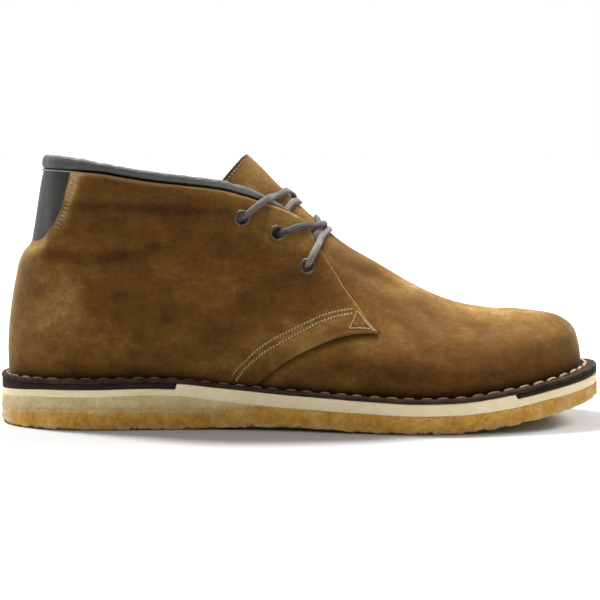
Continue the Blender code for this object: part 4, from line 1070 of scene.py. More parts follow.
# ---------------------------------------------------------------- quarters
def quarter(side, word):
    front = np.linspace(36.4, -4.0, 200)
    facing = resample(line_xz(front, facing_z(front), side), 0.8)
    seam = resample(line_xz(np.linspace(-24.4, 36.4, 200), seam_z(np.linspace(-24.4, 36.4, 200)), side), 0.8)
    seam[0] = chart_point(theta_of(-25.0), np.array(0.0), side)
    collar = resample(collar_line(side, notch_theta[-1])[::-1], 0.9)
    notch = resample(notch_line(side)[::-1], 0.8)
    back_p = float(p_at_height(0.0, side, notch_height[0])[0])
    back = np.stack([np.zeros(90), v_of(np.linspace(back_p, 0, 90), side)], -1)
    feather = resample(chart_point(np.linspace(0, float(theta_of(-25.0)), 300), np.zeros(300), side), 1.0)
    loop = np.concatenate([seam[:-1], facing[:-1], collar[:-1], notch[:-1], back[:-1], feather[:-1]])
    holes = [ring_of(t, p, side, EYELET_HOLE / 2 + 0.35) for t, p in eyelet_places(side)]
    fine = np.concatenate([rows_beside(seam_rows[side][0], (-0.7, 0.0, 0.7)), rows_beside(seam_rows[side][1], (0.0, 0.7, -0.7))])
    fine = thin_out(fine, 0.5)

    def relief(uv, theta, p, base):
        x = x_of(theta)
        z = base[:, 2]
        d = np.minimum(distance_to(uv, seam_rows[side][0]), distance_to(uv, seam_rows[side][1]))
        amount = -0.32 * np.exp(-((d / 0.9) ** 2))
        t = distance_to(uv, tack_line[side])
        amount -= 0.22 * np.exp(-((t / 0.8) ** 2))
        edge = distance_to(uv, seam)
        amount += 0.28 * np.exp(-(((edge - 3.6) / 2.6) ** 2)) * np.clip((34 - x) / 8, 0, 1)
        rim = distance_to(uv, notch)
        amount += 0.25 * np.exp(-(((rim - 3.0) / 2.2) ** 2))
        amount += fold_relief(uv, quarter_folds[side])
        # padding rolls out under the collar, the counter holds the heel smooth
        under = collar_z(x) - z
        amount += 0.55 * np.exp(-(((under - 8.0) / 5.5) ** 2)) * np.clip((-20 - x) / 20, 0, 1)
        amount -= 0.45 * np.exp(-((np.clip(under, 0, 99) / 2.4) ** 2)) * np.clip((-14 - x) / 20, 0, 1)
        # the top of the heel rolls in to the notch
        amount -= 2.0 * np.exp(-((np.clip(rim, 0, 99) / 3.4) ** 2)) * np.clip((-128 - x) / 12, 0, 1)
        # closed seam down the back of the heel
        amount -= 0.55 * np.exp(-((uv[:, 0] / 1.1) ** 2))
        free = np.clip(distance_to(uv, feather) / 8.0, 0, 1)
        return amount * free + soft_lumps(base, 11 + side) * free

    def tones(uv, theta, p, face):
        tone = nap_and_painted_light_tone(uv, theta, p, face)
        # lighter along the lower seam and, more, along the facing edge: painted highlight of the edge catching light
        tone += 0.15 * np.exp(-((distance_to(uv, seam) / 0.9) ** 2)) + 0.30 * np.exp(-((distance_to(uv, facing) / 1.1) ** 2))
        tone += (0.55 + 0.65 * np.clip((face[:, 2] - 95) / 10, 0, 1)) * np.exp(-(((distance_to(uv, notch) - 2.4) / 3.4) ** 2))
        # the pale line along the collar's top edge: cut colour brightened into a painted highlight
        tone += 0.90 * np.exp(-((distance_to(uv, collar) / 0.9) ** 2))
        r = np.minimum(distance_to(uv, seam_rows[side][0]), distance_to(uv, seam_rows[side][1]))
        tone += 0.18 * np.exp(-((r / 1.6) ** 2))
        # painted shade along each trough
        for line, wide, deep, _ in quarter_folds[side]:
            tone -= 0.5 * min(deep, 1) * np.exp(-((distance_to(uv, line) / (wide * 0.75)) ** 2))
        return tone

    def cut(uv):
        # how much pale cut colour each edge shows: little along the lower seam, so that it reads as painted shade, full
        # under the collar roll
        near = np.argmin([distance_to(uv, line) for line in (seam, facing, notch, collar)], axis=0)
        return np.array((0.10, 0.80, 0.30, 1.0))[near]

    def cut_colour_and_highlight_on_face(uv):
        # the pale cut-edge colour along the top edge, under the collar roll, brightened into a painted highlight of the
        # edge
        back_from_tip = np.clip((float(u_of(theta_of(-22.0))) - uv[:, 0]) / 8.0, 0, 1)
        return 0.85 * np.exp(-((distance_to(uv, collar) / 0.75) ** 2)) * back_from_tip

    QUARTER_RELIEF[side] = relief
    obj = skin("quarter_" + word, [[loop] + holes], OVERLAY, 0.1, [SUEDE, LINING], 1.0, relief, [fine], 0.06, tones, cut=cut, cut_colour_and_highlight_on_face=cut_colour_and_highlight_on_face)
    return obj


def thin_out(points, least):
    """Drop points that lie closer than a distance to one already kept."""
    cells, kept = {}, []
    for q in points:
        key = (int(q[0] // least), int(q[1] // least))
        near = False
        for dx in (-1, 0, 1):
            for dy in (-1, 0, 1):
                for r in cells.get((key[0] + dx, key[1] + dy), ()):
                    if (r[0] - q[0]) ** 2 + (r[1] - q[1]) ** 2 < least * least:
                        near = True
        if not near:
            cells.setdefault(key, []).append(q)
            kept.append(q)
    return np.array(kept)


QUARTER_RELIEF = {}
quarters = [quarter(-1, "lateral"), quarter(1, "medial")]
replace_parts(quarters[0], "upper")

# ---------------------------------------------------------------- vamp, running on as the tongue
# Top edge of the tongue, from its apex on the ridge down each side, behind the collar.
TONGUE_EDGE = {
    "x": (-25.9, -27.5, -29.4, -31.3, -33.3, -35.2, -36.9, -39.5, -42.0, -43.4, -44.0),
    "z": (134.2, 132.7, 130.8, 128.6, 126.4, 124.2, 122.3, 119.4, 116.4, 112.6, 108.0),
}


def tongue_edge_p(x, side):
    """p of the quarter's free edge over the tongue at a section."""
    theta = theta_of(x)
    z = np.where(x < -4, collar_z(x), facing_z(np.maximum(x, -4))) + HAND_AT(x, side)
    return p_at_height(theta, side, z)


def tongue_height(uv, theta, p):
    """Height of the vamp's face over the form, sinking where it runs on as the tongue inside the quarters."""
    x = x_of(theta)
    sink = np.zeros(len(uv))
    for side in (-1, 1):
        pick = (uv[:, 1] < 0) if side < 0 else (uv[:, 1] >= 0)
        if not pick.any():
            continue
        xs, q = x[pick], p[pick]
        edge = tongue_edge_p(np.clip(xs, -60, 36), side)
        share = np.clip((2 - q) / np.maximum(2 - edge, 0.05), 0, 1.6)
        rear = np.clip((14 - xs) / 16, 0, 1)
        rear = rear * rear * (3 - 2 * rear)
        upper_part = np.clip((q - (edge - 0.55)) / 0.25, 0, 1)
        sink[pick] = rear * (0.5 + 1.6 * np.clip(share, 0, 1.1) ** 2) * upper_part
        by_collar = 2.0 * np.clip((-4 - xs) / 12, 0, 1) * np.clip(share, 0, 1.2) ** 2
        sink[pick] += by_collar * upper_part
    return -sink


def vamp():
    half = {}
    for side in (-1, 1):
        feather = resample(chart_point(np.linspace(math.pi, float(theta_of(-30.0)), 500), np.zeros(500), side), 1.0)
        under = smooth_line(line_xz((-30, -27, -21, -12, -2, 8, 14, 16.5), (20.2, 30, 39, 46, 52, 57, 61, 66), side), 2)
        xs = np.linspace(11.0, -42.0, 60)
        flank = line_xz(xs, np.where(xs < -4, collar_z(xs), facing_z(np.maximum(xs, -4))) - 9.0, side)
        edge = line_xz(TONGUE_EDGE["x"], TONGUE_EDGE["z"], side)
        edge[0] = (u_of(theta_of(TONGUE_EDGE["x"][0])), 0.0)
        apex = smooth_line(edge, 1)[::-1]
        joined = np.concatenate([smooth_line(np.concatenate([under, flank[3:]]), 2), apex[:1]])
        half[side] = (feather, resample(joined, 0.9), resample(apex, 0.7))
    toe = np.stack([np.full(141, u_of(math.pi)), np.linspace(-(V_LOW + V_HIGH), V_LOW + V_HIGH, 141)], -1)
    l, m = half[-1], half[1]
    loop = np.concatenate([l[0][:-1], l[1][:-1], l[2][:-1], m[2][::-1][:-1], m[1][::-1][:-1], m[0][::-1][:-1], toe[::-1][:-1]])
    edge_line = {side: curve_xz(FACING, side, 1.0) for side in (-1, 1)}
    seam_line = {side: curve_xz(SEAM, side, 1.0) for side in (-1, 1)}

    height = tongue_height

    def relief(uv, theta, p, base):
        x = x_of(theta)
        amount = np.zeros(len(uv))
        for side in (-1, 1):
            pick = (uv[:, 1] < 0) if side < 0 else (uv[:, 1] >= 0)
            amount[pick] += fold_relief(uv[pick], vamp_folds[side])
            near = np.minimum(distance_to(uv[pick], edge_line[side]), distance_to(uv[pick], seam_line[side]))
            amount[pick] -= 0.18 * np.exp(-((near / 1.6) ** 2))
        # the leather breaks a little where the lacing pulls it together
        pull = np.exp(-(((x - 16) / 9) ** 2)) * np.exp(-((uv[:, 1] / 16) ** 2))
        amount += pull * (-0.7 + 0.45 * np.cos(uv[:, 1] / 3.1))
        hidden = np.clip((x + 24) / 6, 0, 1)
        free = np.clip((p * V_LOW) / 8.0, 0, 1)
        return (amount + soft_lumps(base, 21)) * free * np.where(x < -5, np.clip(p, 0, 1), 1.0)

    def tones(uv, theta, p, face):
        tone = nap_and_painted_light_tone(uv, theta, p, face)
        x = x_of(theta)
        tone += 0.30 * np.clip((-2 - x) / 14, 0, 1)
        for side in (-1, 1):
            pick = (uv[:, 1] < 0) if side < 0 else (uv[:, 1] >= 0)
            # painted shade in the angle under the quarter's lower edge, and darker along the tongue's inked edge
            tone[pick] -= 0.9 * np.exp(-((distance_to(uv[pick], seam_line[side]) / 2.0) ** 2))
            rear = smooth_line(line_xz(TONGUE_EDGE["x"], TONGUE_EDGE["z"], side), 1)
            tone[pick] -= 1.3 * np.exp(-((distance_to(uv[pick], resample(rear, 0.4)) / 0.5) ** 2))
            # painted shade along each bend
            for line, wide, deep, _ in vamp_folds[side]:
                tone[pick] -= 0.16 * np.exp(-((distance_to(uv[pick], line) / (wide * 0.7)) ** 2))
        return tone

    def floor_of(uv, theta, p):
        return height(uv, theta, p) - 1.5

    global VAMP_RELIEF
    VAMP_RELIEF = relief
    return skin("vamp_and_tongue", [[loop]], height, floor_of, [SUEDE, LINING], 1.05, relief, None, 0.05, tones, cut=lambda uv: np.zeros(len(uv)))


vamp_obj = vamp()
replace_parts(vamp_obj, "tongue")


# ---------------------------------------------------------------- lining, tongue lining, heel tab
LINING_FRONT = {
    "x": (-22, -18, -12, -4, 6, 14, 20, 20, 14, 9.8, 6, 3, -4, -13, -21, -30, -40, -47, -50),
    "z": (20.2, 29, 36.5, 43, 48.5, 53, 58, 63, 66.8, 74, 79, 84.5, 92.7, 96.5, 99, 102.5, 105.6, 110, 117.4),
}


def lining():
    regions = []
    for side in (-1, 1):
        front = resample(smooth_line(line_xz(LINING_FRONT["x"], LINING_FRONT["z"], side), 2), 1.4)
        front[0, 1] = side * (V_LOW + V_HIGH)
        theta = np.linspace(float(theta_of(-50.0)), 0.0, 200)
        p = p_at_height(theta, side, collar_z(x_of(theta)) + HAND_AT(x_of(theta), side))
        top = resample(chart_point(theta, p, side), 1.4)
        back = np.stack([np.zeros(70), v_of(np.linspace(float(p[-1]), 0, 70), side)], -1)
        feather = resample(chart_point(np.linspace(0, float(theta_u(front[0, 0])), 200), np.zeros(200), side), 1.4)
        regions.append([np.concatenate([front[:-1], top[:-1], back[:-1], feather[:-1]])])
    relief = lambda uv, theta, p, base: 0.5 * soft_lumps(base, 41) - 0.4 * np.exp(-((uv[:, 0] / 1.2) ** 2))
    return skin("lining", regions, -1.75, -2.55, [LINING], 1.5, relief, None, 0.02)


lining()


def heel_tab():
    regions = []
    for side in (-1, 1):
        cut = notch_line(side, 0.0)
        way = np.gradient(cut, axis=0)
        way /= np.linalg.norm(way, axis=1, keepdims=True)
        inward = np.stack([-way[:, 1], way[:, 0]], -1)
        middle = np.array([0.0, v_of(1.0, side)])
        flip = np.where(np.einsum("ij,ij->i", inward, middle - cut) > 0, 1, -1)
        cut = cut + inward * flip[:, None] * 0.35
        cut[0, 0] = 0.0
        cut = resample(cut, 0.8)
        theta = np.linspace(float(theta_u(cut[-1, 0])), 0.0, 60)
        p = p_at_height(theta, side, collar_z(x_of(theta)) + HAND_AT(x_of(theta), side) + 0.6)
        top = resample(chart_point(theta, p, side), 0.8)
        back = np.stack([np.zeros(36), v_of(np.linspace(float(p[-1]), float(p_v(cut[0, 1])), 36), side)], -1)
        regions.append([np.concatenate([cut[:-1], top[:-1], back[:-1]])])

    def relief(uv, theta, p, base):
        z = base[:, 2]
        edge = np.minimum(distance_to(uv, notch_line(-1)), distance_to(uv, notch_line(1)))
        pad = 0.45 * (1 - np.exp(-((edge / 4.0) ** 2)))
        return pad + 0.12 * noise(base, 9.0, 51) - 0.3 * np.exp(-(((z - 124.5) / 1.6) ** 2))

    return skin("heel_tab_leather", regions, OVERLAY - 2.0, -1.1, [TAB], 0.9, relief, None, 0.02)


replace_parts(heel_tab(), "heel_tab")


def tongue_lining():
    """Dark leather under the tongue, seen as an edging beyond the suede."""
    loop_half = {}
    for side in (-1, 1):
        xs = np.array(TONGUE_EDGE["x"]) - 0.30
        zs = np.array(TONGUE_EDGE["z"]) + 0.15
        edge = line_xz(xs, zs, side)
        edge[0] = (u_of(theta_of(xs[0])), 0.0)
        flank_x = np.linspace(-44.5, 9.0, 50)
        flank = line_xz(flank_x, np.where(flank_x < -4, collar_z(flank_x), facing_z(np.maximum(flank_x, -4))) - 9.6, side)
        loop_half[side] = (resample(smooth_line(edge, 1), 0.9), resample(flank, 1.2))
    front = np.stack([np.full(30, loop_half[-1][1][-1, 0]), np.linspace(loop_half[-1][1][-1, 1], loop_half[1][1][-1, 1], 30)], -1)
    loop = np.concatenate([loop_half[-1][0], loop_half[-1][1], front[1:-1], loop_half[1][1][::-1], loop_half[1][0][::-1][:-1]])
    top = lambda uv, theta, p: tongue_height(uv, theta, p) - 1.45
    floor = lambda uv, theta, p: tongue_height(uv, theta, p) - 2.35
    return skin("tongue_lining", [[loop]], top, floor, [BLACK], 1.1, lambda uv, theta, p, base: 0.5 * soft_lumps(base, 21), None, 0.02)


tongue_lining()


# ---------------------------------------------------------------- collar binding
def collar_frame(theta, side):
    x = x_of(theta)
    p = p_at_height(theta, side, collar_z(x) + HAND_AT(x, side))
    here = surface(theta, p, side)
    up = surface(theta, np.minimum(p + 0.01, 1.99), side) - surface(theta, p - 0.01, side)
    up /= np.linalg.norm(up, axis=-1, keepdims=True)
    n = normal(theta, p, side)
    return here, up, n, x


def binding():
    """The padded roll round the collar: a bulb of pebbled leather on a neck that tucks in behind the suede's edge."""
    theta = np.concatenate([theta_of(np.linspace(-5.2, -100, 190)), np.linspace(float(theta_of(-100.0)), 0, 80)[1:]])
    l, m = collar_frame(theta, -1), collar_frame(theta[:-1], 1)
    here, up, n, x = (np.concatenate([a, b[::-1]]) for a, b in zip(l, m))
    # One frame across the heel, where the two sides meet.
    blend = np.ones(9) / 9
    for arr in (up, n):
        k = len(theta) - 1
        for c in range(3):
            arr[k - 12 : k + 13, c] = np.convolve(arr[k - 16 : k + 17, c], blend, "valid")
        arr /= np.linalg.norm(arr, axis=1, keepdims=True)
    full = np.clip((-4 - x) / 20, 0, 1) ** 0.7
    back = np.clip((-92 - x) / 26, 0, 1)
    back = back * back * (3 - 2 * back)
    half_h = 0.45 + (2.15 + 1.2 * back - 0.45) * full
    half_w = 0.5 + (2.1 + 0.1 * back - 0.5) * full
    run = np.concatenate([[0], np.cumsum(np.linalg.norm(np.diff(here, axis=0), axis=1))])
    gathers = 0.05 * noise(np.stack([run, 0 * run, 0 * run], -1), 5.5, 61) + 0.03 * noise(np.stack([run, 0 * run, 0 * run], -1), 2.1, 62)
    half_h, half_w = half_h * (1 + gathers), half_w * (1 + gathers * 1.3)
    gap = 0.25 + (1.30 - 0.60 * back) * full
    middle = here + up * (gap + half_h)[:, None] + n * (0.35 - 0.25 * full - 1.15 * back)[:, None]
    # bulb from low outside over the top to low inside, then the neck down behind the suede
    bulb = np.linspace(math.radians(-52), math.radians(232), 26)
    points, uv, pale = [], [], []
    lighter = 0.34 * np.clip((x + 84) / 50, 0, 1)
    for i, (c, u, w, h, b) in enumerate(zip(middle, up, n, half_h, half_w)):
        small = 0.3 + 0.7 * full[i]
        ring = []
        for a in bulb:
            ca, sa = math.cos(a), math.sin(a)
            r = (abs(ca) ** 2.3 + abs(sa) ** 2.3) ** (-1 / 2.3)
            ring.append((ca * r * b, sa * r * h))
        foot = -h - gap[i] - 2.2 * small
        ring += [(-1.35 * small, -h * 0.96), (-1.30 * small, foot), (-0.55 * small, foot), (-0.35 * small, -h * 0.98), (0.25 * b, -h)]
        points += [c + w * across + u * rise for across, rise in ring]
        uv += [(k / len(ring) * 14.0, run[i]) for k in range(len(ring))]
        # the bulb is paler towards the front; the five neck points are painted dark, as shade in the gap under the roll
        pale += [lighter[i]] * (len(ring) - 5) + [-0.6] * 5
    count = len(ring)
    faces = []
    for i in range(len(middle) - 1):
        for k in range(count):
            j = (k + 1) % count
            faces.append((i * count + k, i * count + j, (i + 1) * count + j, (i + 1) * count + k))
    faces.append(tuple(range(count))[::-1])
    faces.append(tuple((len(middle) - 1) * count + k for k in range(count)))
    a, b, c3 = (np.asarray(points[i]) for i in faces[count * 100][:3])
    if np.dot(np.cross(b - a, c3 - a), a - middle[100]) < 0:
        faces = [f[::-1] for f in faces]
    obj = make("collar_binding_roll", points, faces, GREY, uv=uv, marks={"pale": pale})
    return obj


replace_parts(binding(), "collar_binding")


# ---------------------------------------------------------------- threads
THREAD_SHAPE = ((0.0, -0.55, 0.6), (0.05, -0.1, 0.9), (0.18, 0.16, 1.0), (0.5, 0.26, 1.06), (0.82, 0.16, 1.0), (0.95, -0.1, 0.9), (1.0, -0.55, 0.6))


def threads(name, stitches, radius, mat, sides=6, dirt=None):
    """Short threads on a face. Each stitch is (start, end, normal at start, normal at end), and may add its own radius."""
    points, faces, uv, grime = [], [], [], []
    common = radius
    for number, (a, b, na, nb, *own) in enumerate(stitches):
        radius = own[0] if own else common
        along = b - a
        size = np.linalg.norm(along)
        along = along / size
        start = len(points)
        for t, h, r in THREAD_SHAPE:
            n = na * (1 - t) + nb * t
            n = n - along * np.dot(n, along)
            n /= np.linalg.norm(n)
            v = np.cross(along, n)
            c = a * (1 - t) + b * t + n * h * radius * 2.2
            for k in range(sides):
                w = 2 * math.pi * k / sides
                points.append(c + (v * math.cos(w) + n * math.sin(w) * 0.85) * radius * r)
                uv.append((k / sides * 2.0, t * size))
                grime.append(dirt[number] if dirt is not None else 0.0)
        rings = len(THREAD_SHAPE)
        for i in range(rings - 1):
            for k in range(sides):
                j = (k + 1) % sides
                faces.append((start + i * sides + k, start + (i + 1) * sides + k, start + (i + 1) * sides + j, start + i * sides + j))
        faces.append(tuple(start + k for k in range(sides)))
        faces.append(tuple(start + (rings - 1) * sides + k for k in reversed(range(sides))))
    return make(name, points, faces, mat, uv=uv, marks={"dirt": grime})


def quarter_face(side):
    """Function giving points and normals on the face of a quarter, relief included."""
    def at(uv):
        base, n, theta, p = on_form(uv)
        return base + n * (OVERLAY + QUARTER_RELIEF[side](uv, theta, p, base))[:, None], n
    return at


def vamp_face(uv):
    base, n, theta, p = on_form(uv)
    return base + n * (tongue_height(uv, theta, p) + VAMP_RELIEF(uv, theta, p, base))[:, None], n


def row(line, face, pitch, length, tilt=0.0, seed=0, skip=0.0, loose=0.08):
    """Stitches along a chart line on a face."""
    dense = np.concatenate([np.linspace(a, b, 4)[:-1] for a, b in zip(line[:-1], line[1:])] + [line[-1:]])
    pts, ns = face(dense)
    run = np.concatenate([[0], np.cumsum(np.linalg.norm(np.diff(pts, axis=0), axis=1))])
    take = lambda arr, s: np.array([np.interp(s, run, arr[:, k]) for k in range(3)])
    made, s, number = [], skip + pitch / 2, 0
    wobble = noise(np.stack([np.arange(4000) * 1.7, np.zeros(4000), np.zeros(4000)], -1), 1.0, 71 + seed)
    while s + length / 2 < run[-1] - skip:
        j = loose * wobble[number * 3]
        a, b = s - length / 2 * (1 + j), s + length / 2 * (1 - j)
        pa, pb, na, nb = take(pts, a), take(pts, b), take(ns, a), take(ns, b)
        t = (pb - pa) / np.linalg.norm(pb - pa)
        w = np.cross(na, t)
        lean = tilt + loose * wobble[number * 3 + 1]
        made.append((pa - w * lean, pb + w * lean, na, nb))
        s += pitch * (1 + 0.5 * loose * wobble[number * 3 + 2])
        number += 1
    return made


def seam_threads():
    made = []
    for side in (-1, 1):
        face = quarter_face(side)
        low, high = seam_rows[side]
        made += row(low, face, 1.66, 1.18, -0.50 * side, 1, 0.0, 0.14)
        made += row(high, face, 1.66, 1.18, -0.50 * side, 2, 0.4, 0.14)
        loop = np.concatenate([tack_line[side], tack_line[side][:2]])
        made += row(loop, face, 1.3, 1.12, 0.03, 3, 0.0)
        front = resample(line_xz((27.6, 31.0, 34.8), (56.6, 51.8, 48.0), side), 0.6)
        made += row(front, face, 1.25, 1.1, 0.08, 4)
    return threads("seam_stitches", made, 0.42, THREAD)


seam_threads()


def notch_threads():
    """Zigzag stitches on the suede round the heel tab."""
    made, dirt = [], []
    ease_step = lambda t: np.clip(t, 0, 1) ** 2 * (3 - 2 * np.clip(t, 0, 1))
    for side in (-1, 1):
        face = quarter_face(side)
        cut = resample(notch_line(side), 0.4)
        way = np.gradient(cut, axis=0)
        way /= np.linalg.norm(way, axis=1, keepdims=True)
        out = np.stack([-way[:, 1], way[:, 0]], -1)
        middle = np.array([0.0, v_of(1.0, side)])
        out *= np.where(np.einsum("ij,ij->i", out, cut - middle) > 0, 1, -1)[:, None]
        # true directions in the leather, across the edge
        here, up_n, *_ = on_form(cut)
        du = (on_form(cut + (0.2, 0.0))[0] - here) / 0.2
        dv = (on_form(cut + (0.0, 0.2))[0] - here) / 0.2
        run_way = np.gradient(here, axis=0)
        across = np.cross(up_n, run_way)
        across /= np.linalg.norm(across, axis=1, keepdims=True)
        flip = np.sign(np.einsum("ij,ij->i", across, du * out[:, :1] + dv * out[:, 1:]))
        across *= flip[:, None]
        a11, a12, a22 = (du * du).sum(1), (du * dv).sum(1), (dv * dv).sum(1)
        b1, b2 = (du * across).sum(1), (dv * across).sum(1)
        det = a11 * a22 - a12 * a12
        step = np.stack([(b1 * a22 - b2 * a12) / det, (b2 * a11 - b1 * a12) / det], -1)
        near, far = face(np.maximum(cut + step * 0.7, (0.02, -1e9))), face(np.maximum(cut + step * 3.7, (0.02, -1e9)))
        run = np.concatenate([[0], np.cumsum(np.linalg.norm(np.diff(near[0], axis=0), axis=1))])
        take = lambda arr, s: np.array([np.interp(s, run, arr[:, k]) for k in range(3)])
        wobble = noise(np.stack([np.arange(400) * 1.7, np.zeros(400), np.zeros(400)], -1), 1.0, 77 + side)
        s, number = 0.8, 0
        while s + 2.3 < run[-1]:
            j = 0.18 * wobble[number]
            a, b, c = take(near[0], s), take(far[0], s + 0.35 + j), take(near[0], s + 2.05)
            # worn in among the nap low on the heel, standing clear higher up
            low = 1 - ease_step((a[2] - 98) / 9)
            if a[2] < 98.5:
                s += 2.05
                number += 1
                continue
            made.append((a, b, take(near[1], s), take(far[1], s + 0.35)))
            dirt.append(0.04 + 0.35 * low)
            made.append((b, c, take(far[1], s + 0.35), take(near[1], s + 2.05), 0.20))
            dirt.append(0.45 + 0.3 * low)
            s += 2.05
            number += 1
        # a short white tack at the notch's top corner
        corner = cut[-1]
        for lift in (0.9, 1.5, 2.1):
            ends = np.array([corner + (0.9, side * lift), corner + (3.6, side * (lift + 0.1))])
            p, n = face(ends)
            made.append((p[0], p[1], n[0], n[1], 0.44))
            dirt.append(0.0)
    return threads("notch_stitches", made, 0.29, THREAD, dirt=dirt)


notch_threads()


def tongue_threads():
    made = []
    for side in (-1, 1):
        edge = line_xz(np.array(TONGUE_EDGE["x"]) + 0.75, np.array(TONGUE_EDGE["z"]) - 0.8, side)
        made += row(resample(edge[1:9], 0.6), vamp_face, 2.3, 1.3, 0.0, 5)
    return threads("tongue_stitches", made, 0.24, THREAD)


tongue_threads()


def tab_cord():
    """A fine light edge where the roll is sewn to the heel tab."""
    angles = np.linspace(-TAB_SPREAD, TAB_SPREAD, 120)
    path = []
    for a in angles:
        side = -1 if a <= 0 else 1
        theta = theta_at_angle(abs(a)) if a else 0.0
        here, up, n, x = collar_frame(np.array([theta]), side)
        path.append(here[0] + up[0] * 0.35 + n[0] * 0.75)
    return tube("tab_piping", path, 0.33, GREY_THREAD)


def tube(name, path, radius, mat, sides=8):
    path = np.asarray(path, float)
    along = np.gradient(path, axis=0)
    along /= np.linalg.norm(along, axis=1, keepdims=True)
    u = np.cross(along[0], (0.3, 0.2, 0.9))
    u /= np.linalg.norm(u)
    points, faces, uv, run = [], [], [], 0.0
    for i, (c, t) in enumerate(zip(path, along)):
        u = u - t * np.dot(u, t)
        u /= np.linalg.norm(u)
        v = np.cross(t, u)
        run += np.linalg.norm(c - path[i - 1]) if i else 0
        for k in range(sides):
            w = math.tau * k / sides
            points.append(c + (u * math.cos(w) + v * math.sin(w)) * radius)
            uv.append((k / sides * 2.0, run))
    n = len(path)
    for i in range(n - 1):
        for k in range(sides):
            j = (k + 1) % sides
            faces.append((i * sides + k, i * sides + j, (i + 1) * sides + j, (i + 1) * sides + k))
    faces.append(tuple(reversed(range(sides))))
    faces.append(tuple((n - 1) * sides + k for k in range(sides)))
    return make(name, points, faces, mat, uv=uv)


tab_cord()


# ---------------------------------------------------------------- eyelets
def eyelet(name, theta, p, side):
    """A rolled brass ring with its barrel, set in the quarter."""
    uv = np.array([[float(u_of(theta)), float(v_of(p, side))]])
    c, n = (a[0] for a in quarter_face(side)(uv))
    a = np.cross(n, (0, 0, 1.0))
    a /= np.linalg.norm(a)
    b = np.cross(n, a)
    r0, r1 = EYELET_HOLE / 2, EYELET_OUTER / 2
    profile = (
        (r0 + 0.05, -2.9), (r0 + 0.05, -0.4), (r0 + 0.12, 0.1), (r0 + 0.34, 0.46), (r0 + 0.72, 0.66), (r1 - 0.42, 0.62),
        (r1 - 0.14, 0.40), (r1 - 0.02, 0.12), (r1, -0.25), (r1 - 0.35, -0.3), (r0 + 0.45, -0.3), (r0 + 0.45, -2.9),
    )
    count, points, faces, m = 48, [], [], len(profile)
    for i in range(count):
        t = math.tau * i / count
        dent = 1 + 0.012 * math.sin(3 * t + p * 40) + 0.008 * math.sin(7 * t + theta * 30)
        for r, z in profile:
            points.append(c + (a * math.cos(t) + b * math.sin(t)) * r * dent + n * z)
    for i in range(count):
        k = (i + 1) % count
        for j in range(m):
            l = (j + 1) % m
            faces.append((i * m + j, i * m + l, k * m + l, k * m + j))
    q = [np.asarray(points[i]) for i in faces[3][:3]]
    if np.dot(np.cross(q[1] - q[0], q[2] - q[0]), n) < 0:
        faces = [f[::-1] for f in faces]
    return make(name, points, faces, BRASS)


for side, word in ((-1, "lateral"), (1, "medial")):
    for number, (theta, p) in enumerate(eyelet_places(side), 1):
        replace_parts(eyelet(f"ring_{word}_{number}", theta, p, side), f"eyelet_{word}_{number}")


# ---------------------------------------------------------------- lace
# Half of each leg, from the ridge out to its eyelet: section place and spread from the ridge (0 at the ridge, 1 at the widest),
# both read off the photo. "over" legs come down on the quarter's face, "under" legs dive below its edge.
HALF_LEGS = {
    "over_1":  ((-9.6, 0.36), (-14.5, 0.655), (-19.2, 0.901), (-21.5, 1.006), (-23.6, 1.04), (-25.8, 1.077)),
    "over_2":  ((10.4, 0.22), (7.9, 0.448), (2.8, 0.639), (-2.2, 0.891), (-6.9, 1.044), (-10.2, 1.081)),
    "over_3":  ((12.9, 0.25), (10.9, 0.471), (8.8, 0.731), (6.3, 1.013), (4.1, 1.099)),
    "across_2": ((8.0, 0.26), (5.6, 0.58), (0.2, 0.86), (-5.6, 1.02), (-10.0, 1.078)),
    "across_1": ((-4.6, 0.24), (-9.0, 0.47), (-14.0, 0.70), (-19.2, 0.915), (-23.4, 1.04), (-25.8, 1.077)),
    "under_2": ((-3.6, 0.25), (-5.6, 0.5), (-8.2, 0.76), (-10.6, 0.95)),
    "under_3": ((9.4, 0.25), (8.5, 0.48), (6.2, 0.76), (3.9, 0.98)),
    "under_3b": ((10.6, 0.25), (8.9, 0.5), (6.2, 0.77), (3.9, 0.98)),
}
# The one lace in order: (side, eyelet, half leg) at each end of a leg, and the section where it passes the ridge.
LEGS = (
    ((-1, 1, "over_1"), (1, 2, "under_2"), -6.4),
    ((1, 2, "across_2"), (-1, 3, "under_3"), 7.6),
    ((-1, 3, "over_3"), (1, 3, "over_3"), 14.4),
    ((1, 3, "under_3b"), (-1, 2, "over_2"), 11.6),
    ((-1, 2, "under_2"), (1, 1, "across_1"), -0.7),
)
# How light each leg of the lace is, in the order of LEGS: partly painted light and shade.
LEG_SHADE = (0.02, 0.04, 0.16, -0.17, 0.10)
# Where one leg rides over another: leg, side, spread from the ridge, extra height, reach in millimetres.
RIDE_OVER = ((0, 1, 0.16, 1.3, 3.6), (3, -1, 0.34, 1.9, 6.0))


